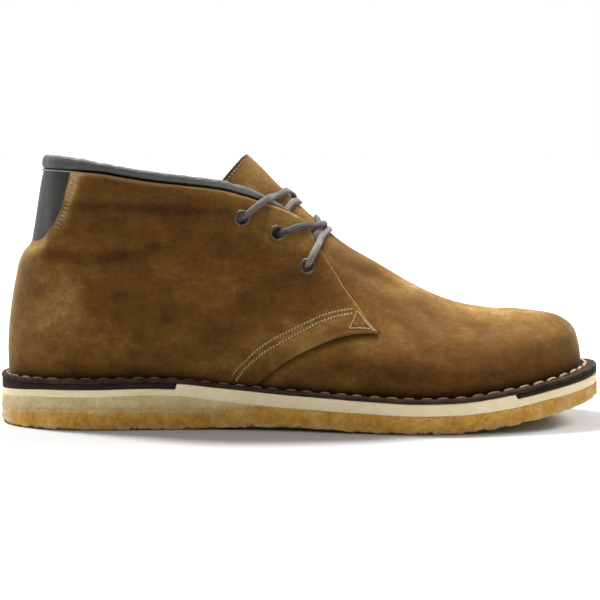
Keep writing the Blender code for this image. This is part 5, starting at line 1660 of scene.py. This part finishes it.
def leg_points(k):
    """One leg from eyelet to eyelet: points, normals and the points on the form beneath, along it."""
    (side_a, num_a, half_a), (side_b, num_b, half_b), ridge_x = LEGS[k]
    knots = []
    for side, number, half, flip in ((side_a, num_a, half_a, True), (side_b, num_b, half_b, False)):
        theta, p = eyelet_places(side)[number - 1]
        part = [(x, side * q) for x, q in HALF_LEGS[half]] + [(float(x_of(theta)), side * (2 - p))]
        knots.append(part[::-1] if flip else part)
    knots = np.array(knots[0] + [(ridge_x, 0.0)] + knots[1])
    scale = np.array([1.0, 34.0])
    gaps = np.linalg.norm(np.diff(knots * scale, axis=0), axis=1)
    at = np.concatenate([[0], np.cumsum(gaps)])
    fine = np.linspace(0, at[-1], 150)
    x = gentle(tuple(at), tuple(knots[:, 0]))(fine)
    q = gentle(tuple(at), tuple(knots[:, 1]))(fine)
    q = np.where(np.abs(q) < 1e-4, 1e-4, q)
    side = np.where(q < 0, -1, 1)
    uv = np.stack([u_of(theta_of(x)), np.where(q < 0, v_of(2 - np.abs(q), -1), v_of(2 - np.abs(q), 1))], -1)
    base, n, theta, p = on_form(uv)
    run = np.concatenate([[0], np.cumsum(np.linalg.norm(np.diff(base, axis=0), axis=1))])
    middle = int(np.argmin(np.abs(q)))
    tongue = tongue_height(uv, theta, p) + VAMP_RELIEF(uv, theta, p, base)
    half = LACE_THICK / 2
    rest = tongue + half - 0.25
    high = np.full(len(x), OVERLAY + half + 0.05)
    low = np.minimum(np.full(len(x), -half - 0.1), tongue + half - 0.2)
    h = rest.copy()
    for (sd, half_name), pick in (((side_a, half_a), np.arange(middle, -1, -1)), ((side_b, half_b), np.arange(middle, len(x)))):
        xs, zs = x[pick], base[pick, 2]
        edge = np.where(xs < -4, collar_z(xs), facing_z(np.maximum(xs, -4))) + HAND_AT(xs, sd)
        inside_now = np.where(zs < edge)[0]
        cross = run[pick][inside_now[0]] if len(inside_now) else run[pick][-1]
        d = np.abs(run[pick] - run[middle]) - abs(cross - run[middle])
        if half_name.startswith("under"):
            t = np.clip((d + 4.5) / 4.0, 0, 1)
            t = t * t * (3 - 2 * t)
            h[pick] = rest[pick] * (1 - t) + low[pick] * t
        else:
            # over the padded roll where the collar runs, over the bare edge where the facing runs
            by_roll = np.clip((-6 - xs) / 6, 0, 1)
            start = 5.0 + 8.5 * by_roll
            t = np.clip((d + start) / (5.2 + 5.3 * by_roll), 0, 1)
            t = t * t * (3 - 2 * t)
            h[pick] = rest[pick] * (1 - t) + (high[pick] + 0.25 * by_roll * np.exp(-(((d + 2.6) / 2.6) ** 2))) * t
    for leg, sd, spread, extra, reach in RIDE_OVER:
        if leg == k:
            spot = int(np.argmin(np.abs(q - sd * spread)))
            h += extra * np.exp(-(((run - run[spot]) / reach) ** 2))
    # the cord is too stiff to follow small steps
    h += 0.35 * np.exp(-(((run - run[middle]) / 5.0) ** 2))
    gap = run[-1] / (len(run) - 1)
    reach = max(1, int(3.4 / gap))
    kernel = np.hanning(2 * reach + 3)
    kernel /= kernel.sum()
    h = np.convolve(np.concatenate([np.full(reach + 1, h[0]), h, np.full(reach + 1, h[-1])]), kernel, "valid")
    pts = base + n * h[:, None]
    reach = max(2, int(4.2 / gap))
    kernel = np.hanning(2 * reach + 3)
    kernel /= kernel.sum()
    padded = np.concatenate([2 * pts[:1] - pts[reach + 1 : 0 : -1], pts, 2 * pts[-1:] - pts[-2 : -reach - 3 : -1]])
    pts = np.stack([np.convolve(padded[:, c], kernel, "valid") for c in range(3)], -1)
    return pts, n, base


def hole_points(side, number, upward, leave):
    """Through an eyelet, close to the side the leg leaves by."""
    theta, p = eyelet_places(side)[number - 1]
    uv = np.array([[float(u_of(theta)), float(v_of(p, side))]])
    base, n, *_ = on_form(uv)
    base, n = base[0], n[0]
    leave = leave / np.linalg.norm(leave)
    pts = [base + n * h + leave * s for h, s in ((-1.2, 0.2), (0.2, 0.65), (1.5, 0.95))]
    return (pts, [n] * 3) if upward else (pts[::-1], [n] * 3)


def lace_route():
    """Points and surface normals of the whole lace, from its hidden end at the top lateral eyelet to the top medial one."""
    route, normals, legs = [], [], []

    def hidden_end(side):
        theta, p = eyelet_places(side)[0]
        at = on_form(np.array([[float(u_of(theta)) - 5.5, float(v_of(p, side)) + side * 1.5]]))
        return at[0][0] + at[1][0] * -1.35, at[1][0]

    for k, (first, last, _) in enumerate(LEGS):
        pts, n, base = leg_points(k)
        legs.append(len(route))
        start, stop = 0, len(pts)
        if not first[2].startswith("under"):
            if k == 0:
                e, en = hidden_end(first[0])
                route.append(e)
                normals.append(en)
            start = int(np.argmax(np.linalg.norm(base - base[0], axis=1) > 2.9))
            a, b = hole_points(first[0], first[1], True, base[start] - base[0])
            route += a
            normals += b
        else:
            start = int(np.argmax(np.linalg.norm(base - base[0], axis=1) > 1.2))
        away = np.linalg.norm(base - base[-1], axis=1)
        stop = int(np.argmax(away < (1.2 if last[2].startswith("under") else 2.9)))
        route += list(pts[start:stop])
        normals += list(n[start:stop])
        if not last[2].startswith("under"):
            a, b = hole_points(last[0], last[1], False, base[stop] - base[-1])
            route += a
            normals += b
            if k == len(LEGS) - 1:
                e, en = hidden_end(last[0])
                route.append(e)
                normals.append(en)
    return np.array(route), np.array(normals), legs


def lace():
    route, normals, legs = lace_route()
    # an even, rounded centre line
    for _ in range(3):
        smooth = route.copy()
        smooth[1:-1] = route[:-2] * 0.25 + route[1:-1] * 0.5 + route[2:] * 0.25
        route = smooth
    run = np.concatenate([[0], np.cumsum(np.linalg.norm(np.diff(route, axis=0), axis=1))])
    step = 0.45
    at = np.linspace(0, run[-1], int(run[-1] / step))
    path = np.stack([np.interp(at, run, route[:, k]) for k in range(3)], -1)
    n = np.stack([np.interp(at, run, normals[:, k]) for k in range(3)], -1)
    # how light each leg is, partly its own colour and partly painted light and shade: the bar is palest, the crossing
    # above it darkest, painted as in shade
    shade = np.zeros(len(route))
    for k, (a, b) in enumerate(zip(legs, legs[1:] + [len(route)])):
        shade[a:b] = LEG_SHADE[k]
    shade = np.convolve(np.pad(np.interp(at, run, shade), 8, "edge"), np.hanning(17) / np.hanning(17).sum(), "valid")
    for arr, wide in ((path, 7), (n, 35)):
        kernel = np.hanning(wide + 2)[1:-1]
        kernel /= kernel.sum()
        padded = np.concatenate([np.repeat(arr[:1], wide // 2, 0), arr, np.repeat(arr[-1:], wide // 2, 0)])
        for k in range(3):
            arr[:, k] = np.convolve(padded[:, k], kernel, "valid")
    n /= np.linalg.norm(n, axis=1, keepdims=True)
    t = np.gradient(path, axis=0)
    t /= np.linalg.norm(t, axis=1, keepdims=True)
    across = np.cross(t[0], n[0])
    across /= np.linalg.norm(across)
    points, uv, pale = [], [], []
    sides = 20
    ways = np.linspace(0, math.tau, sides, endpoint=False)
    wear = noise(np.stack([at, 0 * at, 0 * at], -1), 6.0, 81) * 0.06
    for i in range(len(path)):
        across = across - t[i] * np.dot(across, t[i])
        across /= np.linalg.norm(across)
        want = np.cross(t[i], n[i])
        strong = np.linalg.norm(want)
        if strong > 0.2:
            want /= strong
            if np.dot(want, across) < 0:
                want = -want
            across = across * (1 - 0.22 * strong) + want * 0.22 * strong
            across -= t[i] * np.dot(across, t[i])
            across /= np.linalg.norm(across)
        up = np.cross(across, t[i])
        wide, thick = LACE_WIDE / 2 * (1 + wear[i]), LACE_THICK / 2 * (1 - wear[i])
        for a in ways:
            ca, sa = math.cos(a), math.sin(a)
            r = (abs(ca) ** 2.6 + abs(sa) ** 2.6) ** (-1 / 2.6)
            ridge = 1 + 0.02 * math.sin(a * 5 + at[i] * 2.4) + 0.02 * math.sin(-a * 5 + at[i] * 2.4)
            points.append(path[i] + (across * ca * wide + up * sa * thick) * r * ridge)
            uv.append((a / math.tau * 9.0, at[i]))
            pale.append(shade[i])
    count = len(path)
    faces = []
    for i in range(count - 1):
        for k in range(sides):
            j = (k + 1) % sides
            faces.append((i * sides + k, i * sides + j, (i + 1) * sides + j, (i + 1) * sides + k))
    faces.append(tuple(reversed(range(sides))))
    faces.append(tuple((count - 1) * sides + k for k in range(sides)))
    q = [np.asarray(points[i]) for i in faces[50][:3]]
    if np.dot(np.cross(q[1] - q[0], q[2] - q[0]), q[0] - path[50 // sides]) < 0:
        faces = [f[::-1] for f in faces]
    obj = make("lace", points, faces, LACE, uv=uv, marks={"tone": pale})
    return obj, at[-1]


lace_obj, LACE_LENGTH = lace()
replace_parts(lace_obj, "lace_crossing_top", "lace_crossing_low", "lace_bar")


# ---------------------------------------------------------------- sole
def ease(s):
    s = np.clip(s, 0, 1)
    return s * s * (3 - 2 * s)


def spread(x):
    """How much further the sole's rim stands out at the heel and the toe."""
    return 0.8 * ease((-112 - x) / 30) + 1.3 * ease((x - 112) / 30)


def thetas_between(low, high, step):
    """Sections between two places along the shoe, evenly along the outline."""
    t = np.linspace(float(theta_of(low)), float(theta_of(high)), 4000)
    q = outline(t, -1, 0.0)
    run = np.concatenate([[0], np.cumsum(np.linalg.norm(np.diff(q, axis=0), axis=1))])
    return np.interp(np.linspace(0, run[-1], max(4, int(run[-1] / step))), run, t)


def sole_layer(name, low_x, high_x, bottom, top, mats, inset=0.0, step=0.8, levels=10, across=10, edge=(0.6, 0.6), side_relief=None, low_relief=None, worn=None, serrated=0.0):
    """One layer of the sole as fine rows: lateral wall, top, medial wall, underside. All sizes in mm."""
    theta = thetas_between(low_x, high_x, step)
    x = x_of(theta)
    b, t = bottom(x), top(x)
    v = 0.5 - 0.5 * np.cos(np.linspace(0, math.pi, levels))
    span = (np.linspace(-1, 1, across + 2)[1:-1])
    span = np.sign(span) * (1 - (1 - np.abs(span)) ** 1.0)
    rows = {}
    for side in (-1, 1):
        wall = []
        for f in v:
            z = b + (t - b) * f
            tall = t - b
            el, eh = np.minimum(edge[0], tall * 0.35), np.minimum(edge[1], tall * 0.35)
            dl, dh = np.clip((b + el - z) / el, 0, 1), np.clip((z - (t - eh)) / eh, 0, 1)
            cut = inset - spread(x) + el * (1 - np.sqrt(1 - dl**2)) + eh * (1 - np.sqrt(1 - dh**2))
            flat = outline(theta, side, cut)
            q = np.concatenate([flat, z[:, None]], 1)
            if side_relief is not None:
                push = side_relief(q) * (1 - 0.5 * dl)
                flat = outline(theta, side, cut - push)
                q = np.concatenate([flat, z[:, None]], 1)
            if serrated:
                lift = serrated * (np.abs(noise(q, (2.1, 2.1, 40.0), 91)) + 0.5 * np.clip(noise(q, (5.5, 5.5, 40.0), 92), 0, 1))
                q[:, 2] += lift * (1 - f) ** 4
            wall.append(q)
        rows[side] = wall
    n = len(theta)
    ring = []
    ring += rows[-1]                                    # lateral wall, rising
    a, c = rows[-1][-1], rows[1][-1]
    for s in span:
        q = a * (1 - s) / 2 + c * (1 + s) / 2
        q[:, 2] = t
        ring.append(q)
    ring += rows[1][::-1]                               # medial wall, falling
    a, c = rows[1][0], rows[-1][0]
    for s in span:
        q = a * (1 - s) / 2 + c * (1 + s) / 2
        q[:, 2] = b
        if low_relief is not None:
            q[:, 2] += low_relief(q) * ease((1 - abs(s)) / 0.15)
        ring.append(q)
    m = len(ring)
    points = np.stack(ring, 1).reshape(-1, 3)            # section by section
    faces = []
    for i in range(n - 1):
        for j in range(m):
            k = (j + 1) % m
            faces.append((i * m + j, (i + 1) * m + j, (i + 1) * m + k, i * m + k))
    faces.append(tuple(range(m)))
    faces.append(tuple((n - 1) * m + j for j in reversed(range(m))))
    # Weld the two walls at the tips, where a section has no width.
    keep, index, merged = {}, [], []
    for i, q in enumerate(points):
        key = (round(q[0] * 500), round(q[1] * 500), round(q[2] * 500)) if i < m or i >= (n - 1) * m else i
        if key not in keep:
            keep[key] = len(merged)
            merged.append(q)
        index.append(keep[key])
    clean = []
    for f in faces:
        g = []
        for i in f:
            if index[i] not in g:
                g.append(index[i])
        if len(g) > 2:
            clean.append(g)
    merged = np.array(merged)
    probe = clean[(n // 2) * m]
    q = merged[probe[:3]]
    if np.dot(np.cross(q[1] - q[0], q[2] - q[0]), np.array([0, -1.0, 0])) < 0:
        clean = [g[::-1] for g in clean]
    # flat ends of a layer that stops part way are drawn as one face; at a tip they have no area and go
    drop = [g for g in clean if not (len(g) > 4 and degenerate(merged[g]))]
    marks = None
    if worn is not None:
        marks = {"worn": worn(merged)}
    return make(name, merged, drop, mats, marks=marks)


def degenerate(q):
    """Whether a many-sided face has no area, as at a tip."""
    total = np.zeros(3)
    for i in range(1, len(q) - 1):
        total += np.cross(q[i] - q[0], q[i + 1] - q[0])
    return np.linalg.norm(total) < 1e-3


def wedge_low(x):
    return np.minimum(layer["amber"](x), layer["crepe"](x) - 0.9)


def crepe_side(q):
    """Torn, lumpy wall of crepe: broad swells, crumbs, and streaks that run up and down towards the toe."""
    fore = np.clip((q[:, 0] - 40) / 80, 0, 1)
    crumbs = 0.30 * noise(q, 3.4, 101) + 0.26 * noise(q, 1.8, 102)
    streaks = 0.22 * noise(q, (2.6, 2.6, 9.0), 103) + 0.14 * noise(q, (1.5, 1.5, 6.0), 104)
    beds = 0.16 * noise(q, (9.0, 9.0, 1.8), 105)
    return 0.22 * noise(q, 15.0, 100) + crumbs * (1 - 0.2 * fore) + streaks * (0.3 + 0.7 * fore) + beds


def crepe_low(q):
    bumps = 0.5 + 0.5 * noise(q, (2.4, 2.4, 50), 111)
    pits = np.clip(noise(q, (5.0, 5.0, 50), 112) - 0.1, 0, 1)
    return 0.42 * bumps + 0.5 * pits


def crepe_worn(q):
    low = layer["ground"](q[:, 0])
    nubs = np.clip(noise(q, (2.3, 2.3, 3.0), 125) + 0.35, 0, 1)
    rim = (0.3 + 1.1 * nubs) * np.exp(-((np.clip(q[:, 2] - low, 0, 50) / 1.7) ** 2))
    # the amber fades into the pale wedge above it and at the very back of the heel
    top = wedge_low(q[:, 0])
    soft = 0.85 * np.exp(-((np.clip(top - q[:, 2], 0, 50) / 1.7) ** 2)) * np.clip((-26 - q[:, 0]) / 26, 0, 1)
    heel = 0.9 * ease((-137 - q[:, 0]) / 11)
    toe = 0.35 * ease((q[:, 0] - 96) / 30) * (0.5 + 0.5 * noise(q, (4.0, 4.0, 12.0), 122))
    return np.clip(0.7 * rim + np.maximum(soft, heel) * (0.8 + 0.35 * noise(q, 4.0, 123)) + toe + 0.22 * noise(q, 7.0, 121), 0, 1)


TIP = HALF - 0.02
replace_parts(sole_layer(
    "crepe_outsole", -TIP, TIP, layer["ground"],
    lambda x: np.where(x < WEDGE_END, wedge_low(x), layer["crepe"](x)) - 0.1, [AMBER],
    0.15, 0.65, 17, 34, (0.9, 0.03), crepe_side, crepe_low, crepe_worn, 1.5), "outsole")
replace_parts(sole_layer(
    "crepe_heel_wedge", -TIP, WEDGE_END, wedge_low, layer["crepe"], [PALE],
    0.15, 0.8, 9, 4, (0.03, 0.12), lambda q: 0.25 * noise(q, 3.0, 131) + 0.16 * noise(q, 1.6, 132) + 0.15 * noise(q, 12, 133), None,
    lambda q: np.clip(0.22 * noise(q, 6.0, 134) + 0.75 * np.exp(-((np.clip(q[:, 2] - wedge_low(q[:, 0]), 0, 50) / 1.3) ** 2)) * (0.7 + 0.4 * noise(q, 3.5, 135)) * (1 - ease((-137 - q[:, 0]) / 11)), 0, 1)), "heel_wedge")


def midsole_top(x):
    low, high = layer["thin"](x), layer["filler"](x)
    heel = np.clip((x - HEEL_INSERT_END) / 0.6 + 0.5, 0, 1)
    toe = np.clip((TOE_INSERT_END - x) / 0.6 + 0.5, 0, 1)
    return low + (high - low) * np.minimum(heel, toe)


board_side = lambda q: 0.06 * noise(q, (6.0, 6.0, 1.4), 141) + 0.05 * noise(q, 2.2, 142) + 0.08 * noise(q, 20.0, 143)
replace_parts(sole_layer(
    "cream_midsole", -TIP, TIP, layer["crepe"], midsole_top, [CREAM],
    0.38, 0.6, 8, 4, (0.16, 0.4), board_side), "midsole")
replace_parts(sole_layer(
    "black_heel_insert", -TIP, HEEL_INSERT_END - 0.15, lambda x: layer["thin"](x) + 0.05, lambda x: layer["filler"](x) + 0.05, [BLACK],
    0.40, 0.8, 6, 4, (0.4, 0.4), board_side), "heel_insert")
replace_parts(sole_layer(
    "black_toe_insert", TOE_INSERT_END + 0.15, TIP, lambda x: layer["thin"](x) + 0.05, lambda x: layer["filler"](x) + 0.05, [BLACK],
    0.50, 0.7, 6, 4, (0.4, 0.4), board_side), "toe_insert")


# ---------------------------------------------------------------- welt
def perimeter(step):
    """Sections round the whole edge, back of heel along the lateral side to the toe and back."""
    t = thetas_between(-HALF, HALF, step)
    return [(float(a), -1) for a in t] + [(float(a), 1) for a in t[::-1][1:-1]]


def welt_top(x):
    return layer["welt"](x)


def welt():
    ring = perimeter(0.8)
    theta, side = np.array([r[0] for r in ring]), np.array([r[1] for r in ring])
    x = x_of(theta)
    low, high = layer["filler"](x) + 0.05, welt_top(x)
    tall = high - low
    feather = np.where(side < 0, form["inset_l"](x), form["inset_m"](x))
    inner = feather - OVERLAY * np.clip((-8 - x) / 14, 0, 1)
    outer = np.where(x > 90, 0.55, 0.25) - spread(x)
    # (share of the ledge from the edge inward, height: 0 low to 1 high, drop in mm below that)
    profile = (
        (0.0, 0.0, 0.0, 0.35), (0.0, 0.2, 0.0, 0.05), (0.0, 0.5, 0.0, -0.12), (0.0, 0.8, 0.0, 0.02), (0.0, 0.95, 0.0, 0.28), (0.0, 1.0, 0.0, 0.75),
        (0.25, 1.0, 0.02, 0), (0.46, 1.0, 0.04, 0), (0.53, 1.0, 0.42, 0), (0.62, 1.0, 0.60, 0), (0.70, 1.0, 0.62, 0), (0.78, 1.0, 0.42, 0),
        (0.83, 1.0, 0.30, 0), (0.90, 1.0, 0.85, 0), (1.0, 1.0, 1.30, 0), (1.0, 1.0, 1.7, -1.2), (1.0, 0.0, 0.0, -1.2),
    )
    rows = []
    for share, level, drop, extra in profile:
        move = outer + (inner - outer) * share - (extra if share == 1.0 else 0) + (extra if share == 0.0 else 0)
        if share == 1.0:
            move = inner + 1.2 * (extra < 0)
        z = low + tall * level - drop
        points = np.zeros((len(ring), 3))
        for s in (-1, 1):
            pick = side == s
            rough = 0.0
            flat = outline(theta[pick], s, move[pick])
            q = np.concatenate([flat, z[pick, None]], 1)
            push = 0.20 * noise(q, 2.4, 151) + 0.12 * noise(q, 9.0, 152) + 0.10 * noise(q, (1.0, 1.0, 3), 153)
            flat = outline(theta[pick], s, move[pick] - (push if share < 1 else 0))
            q = np.concatenate([flat, (z[pick] + (0.18 * noise(q, 3.0, 154) + 0.10 * noise(q, 1.4, 155) if level else 0))[:, None]], 1)
            points[pick] = q
        rows.append(points)
    n, m = len(ring), len(profile)
    pts = np.stack(rows, 1).reshape(-1, 3)
    faces = []
    for i in range(n):
        k = (i + 1) % n
        for j in range(m):
            l = (j + 1) % m
            faces.append((i * m + j, k * m + j, k * m + l, i * m + l))
    q = pts[list(faces[(n // 4) * m + 2][:3])]
    if np.dot(np.cross(q[1] - q[0], q[2] - q[0]), (0, -1.0, 0)) < 0:
        faces = [f[::-1] for f in faces]
    share = np.tile(np.array([p[0] for p in profile]), n)
    return make("stitched_welt", pts, faces, [WELT], marks={"inner": share})


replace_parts(welt(), "welt")


def welt_threads():
    ring = perimeter(0.5)
    theta, side = np.array([r[0] for r in ring]), np.array([r[1] for r in ring])
    x = x_of(theta)
    feather = np.where(side < 0, form["inset_l"](x), form["inset_m"](x))
    inner = feather - OVERLAY * np.clip((-8 - x) / 14, 0, 1)
    outer = np.where(x > 90, 0.55, 0.25) - spread(x)
    move = outer + (inner - outer) * 0.66
    path = np.zeros((len(ring), 3))
    for s in (-1, 1):
        pick = side == s
        path[pick, :2] = outline(theta[pick], s, move[pick])
    path[:, 2] = welt_top(x) - 0.18
    path = np.concatenate([path, path[:1]])
    run = np.concatenate([[0], np.cumsum(np.linalg.norm(np.diff(path, axis=0), axis=1))])
    take = lambda s: np.array([np.interp(s, run, path[:, k]) for k in range(3)])
    pitch = run[-1] / round(run[-1] / 8.4)
    wobble = noise(np.stack([np.arange(900) * 1.7, np.zeros(900), np.zeros(900)], -1), 1.0, 161)
    made, dirt = [], []
    for k in range(int(round(run[-1] / pitch))):
        j = wobble[5 * k : 5 * k + 5]
        s = (k + 0.5) * pitch + 0.6 * j[0]
        fore = float(ease((take(s)[0] - 30) / 80))
        length = (5.2 + 1.6 * fore) * (1 + 0.12 * j[1])
        thick = 0.34 + 0.24 * fore + 0.03 * j[4]
        a, b = take(s - length / 2), take(s + length / 2)
        up = np.array([0.0, 0.0, 1.0])
        t = (b - a) / np.linalg.norm(b - a)
        w = np.cross(up, t)
        lean = 0.35 + 0.22 * j[2]
        grime = float(np.clip(0.52 - 0.50 * ease((take(s)[0] + 55) / 45) + 0.16 * j[3], 0, 1))
        made.append((a - w * lean, b + w * lean, up, up, thick))
        # more plies of the thread, fraying beside the first
        made.append((a - w * (lean - 0.50) + t * 0.3 + up * 0.08, b + w * (lean + 0.36) - t * 0.5 * (1 + j[1]) + up * 0.12, up, up, thick * 0.85))
        made.append((a - w * (lean + 0.34) + t * (0.9 + 0.8 * j[2]), b + w * (lean - 0.44) - t * 0.2 + up * 0.02, up, up, thick * 0.7))
        dirt += [grime, min(grime + 0.15, 1), min(grime + 0.25, 1)]
    return threads("welt_stitches", made, 0.4, WELT_THREAD, 7, dirt)


welt_threads()


# ---------------------------------------------------------------- insole
def footbed():
    theta = thetas_between(-139.0, 137.5, 1.6)
    x = x_of(theta)
    ends = []
    for side, s in ((-1, "l"), (1, "m")):
        move = form["inset_" + s](x) + 2.75 - np.where(x < -20, OVERLAY * np.clip((-20 - x) / 12, 0, 1) * 0.0, 0.0)
        ends.append(outline(theta, side, move))
    low = layer["filler"](x) + GAP
    across = 44
    top, under = [], []
    for s in np.linspace(-1, 1, across):
        flat = ends[0] * (1 - s) / 2 + ends[1] * (1 + s) / 2
        near = (1 - abs(s)) * np.linalg.norm(ends[0] - ends[1], axis=1) / 2
        tip = np.minimum(np.abs(x - x[0]), np.abs(x[-1] - x)) * 1.0
        cup = 1.9 * np.exp(-((np.minimum(near, 30) / 5.5) ** 2)) * np.clip(1 - (x - 20) / 100, 0.25, 1)
        arch = 2.2 * np.exp(-(((x + 18) / 34) ** 2)) * max(s, 0) ** 2
        q = np.concatenate([flat, (low + 3.0 + cup + arch)[:, None]], 1)
        q[:, 2] += 0.10 * noise(q, 7.0, 171) + 0.05 * noise(q, 2.5, 172)
        groove = np.exp(-(((near - 4.2) / 0.7) ** 2)) * ease(tip / 12)
        q[:, 2] -= 0.45 * groove
        top.append(q)
        under.append(np.concatenate([flat, low[:, None]], 1))
    n, m = len(theta), across
    ring = top + under[::-1]
    w = len(ring)
    pts = np.stack(ring, 1).reshape(-1, 3)
    faces = []
    for i in range(n - 1):
        for j in range(w):
            k = (j + 1) % w
            faces.append((i * w + j, (i + 1) * w + j, (i + 1) * w + k, i * w + k))
    faces.append(tuple(range(w)))
    faces.append(tuple((n - 1) * w + j for j in reversed(range(w))))
    q = pts[list(faces[(n // 2) * w + m // 2][:3])]
    if np.cross(q[1] - q[0], q[2] - q[0])[2] < 0:
        faces = [f[::-1] for f in faces]
    return make("footbed", pts, faces, [INSOLE])


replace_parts(footbed(), "insole")


# ---------------------------------------------------------------- floor, light and camera
def stage():
    mesh = bpy.data.meshes.new("floor")
    r = 6.0
    mesh.from_pydata([(-r, -r, 0), (r, -r, 0), (r, r, 0), (-r, r, 0)], [], [(0, 1, 2, 3)])
    floor = bpy.data.objects.new("floor", mesh)
    bpy.context.scene.collection.objects.link(floor)
    s = Shader("floor_paint", 0.75, colour=(0.50, 0.50, 0.50))
    s.bsdf.inputs["Specular IOR Level"].default_value = 0.15
    mesh.materials.append(s.mat)

    world = bpy.data.worlds.new("studio")
    bpy.context.scene.world = world
    world.use_nodes = True
    back = world.node_tree.nodes["Background"]
    back.inputs["Strength"].default_value = 1.0
    # white behind the boot, a dimmer room on the camera's side
    tree = world.node_tree
    way = tree.nodes.new("ShaderNodeTexCoord")
    split = tree.nodes.new("ShaderNodeSeparateXYZ")
    fade = tree.nodes.new("ShaderNodeMapRange")
    fade.inputs["From Min"].default_value, fade.inputs["From Max"].default_value = -0.7, 0.5
    fade.inputs["To Min"].default_value, fade.inputs["To Max"].default_value = 0.37, 1.0
    tree.links.new(way.outputs["Generated"], split.inputs[0])
    tree.links.new(split.outputs["Y"], fade.inputs["Value"])
    tree.links.new(fade.outputs[0], back.inputs["Color"])

    light = bpy.data.lights.new("overhead", "SUN")
    light.energy = 7.4
    light.angle = math.radians(32)
    light.color = (1.0, 0.985, 0.955)
    lamp = bpy.data.objects.new("overhead", light)
    bpy.context.scene.collection.objects.link(lamp)
    lamp.rotation_euler = Vector((0.14, -0.23, -1.0)).to_track_quat("-Z", "Y").to_euler()
    ground = bpy.data.collections.new("ground")
    ground.objects.link(floor)
    others = bpy.data.collections.new("all_but_ground")
    others.objects.link(floor)
    others.collection_objects[0].light_linking.link_state = "EXCLUDE"
    lamp.light_linking.receiver_collection = others
    # the floor has lights of its own, so that it stays white close round the boot
    for name, energy, wide, way_down in (("floor_key", 5.3, 12, (0.55, -0.40, -1.0)), ("floor_side", 4.5, 20, (-1.0, -0.70, -0.75))):
        data = bpy.data.lights.new(name, "SUN")
        data.energy = energy
        data.angle = math.radians(wide)
        other = bpy.data.objects.new(name, data)
        bpy.context.scene.collection.objects.link(other)
        other.rotation_euler = Vector(way_down).to_track_quat("-Z", "Y").to_euler()
        other.light_linking.receiver_collection = ground


def camera():
    data = bpy.data.cameras.new("camera")
    data.sensor_width = 36.0
    data.lens = 36.0 * 0.9545 / 0.303
    data.clip_start, data.clip_end = 0.05, 30
    obj = bpy.data.objects.new("camera", data)
    bpy.context.scene.collection.objects.link(obj)
    obj.location = (0.0, -0.95, 0.152)
    obj.rotation_euler = (Vector((0, 0, 0.0603)) - obj.location).to_track_quat("-Z", "Y").to_euler()
    bpy.context.scene.camera = obj


stage()
camera()
bpy.context.scene.view_settings.view_transform = "Standard"
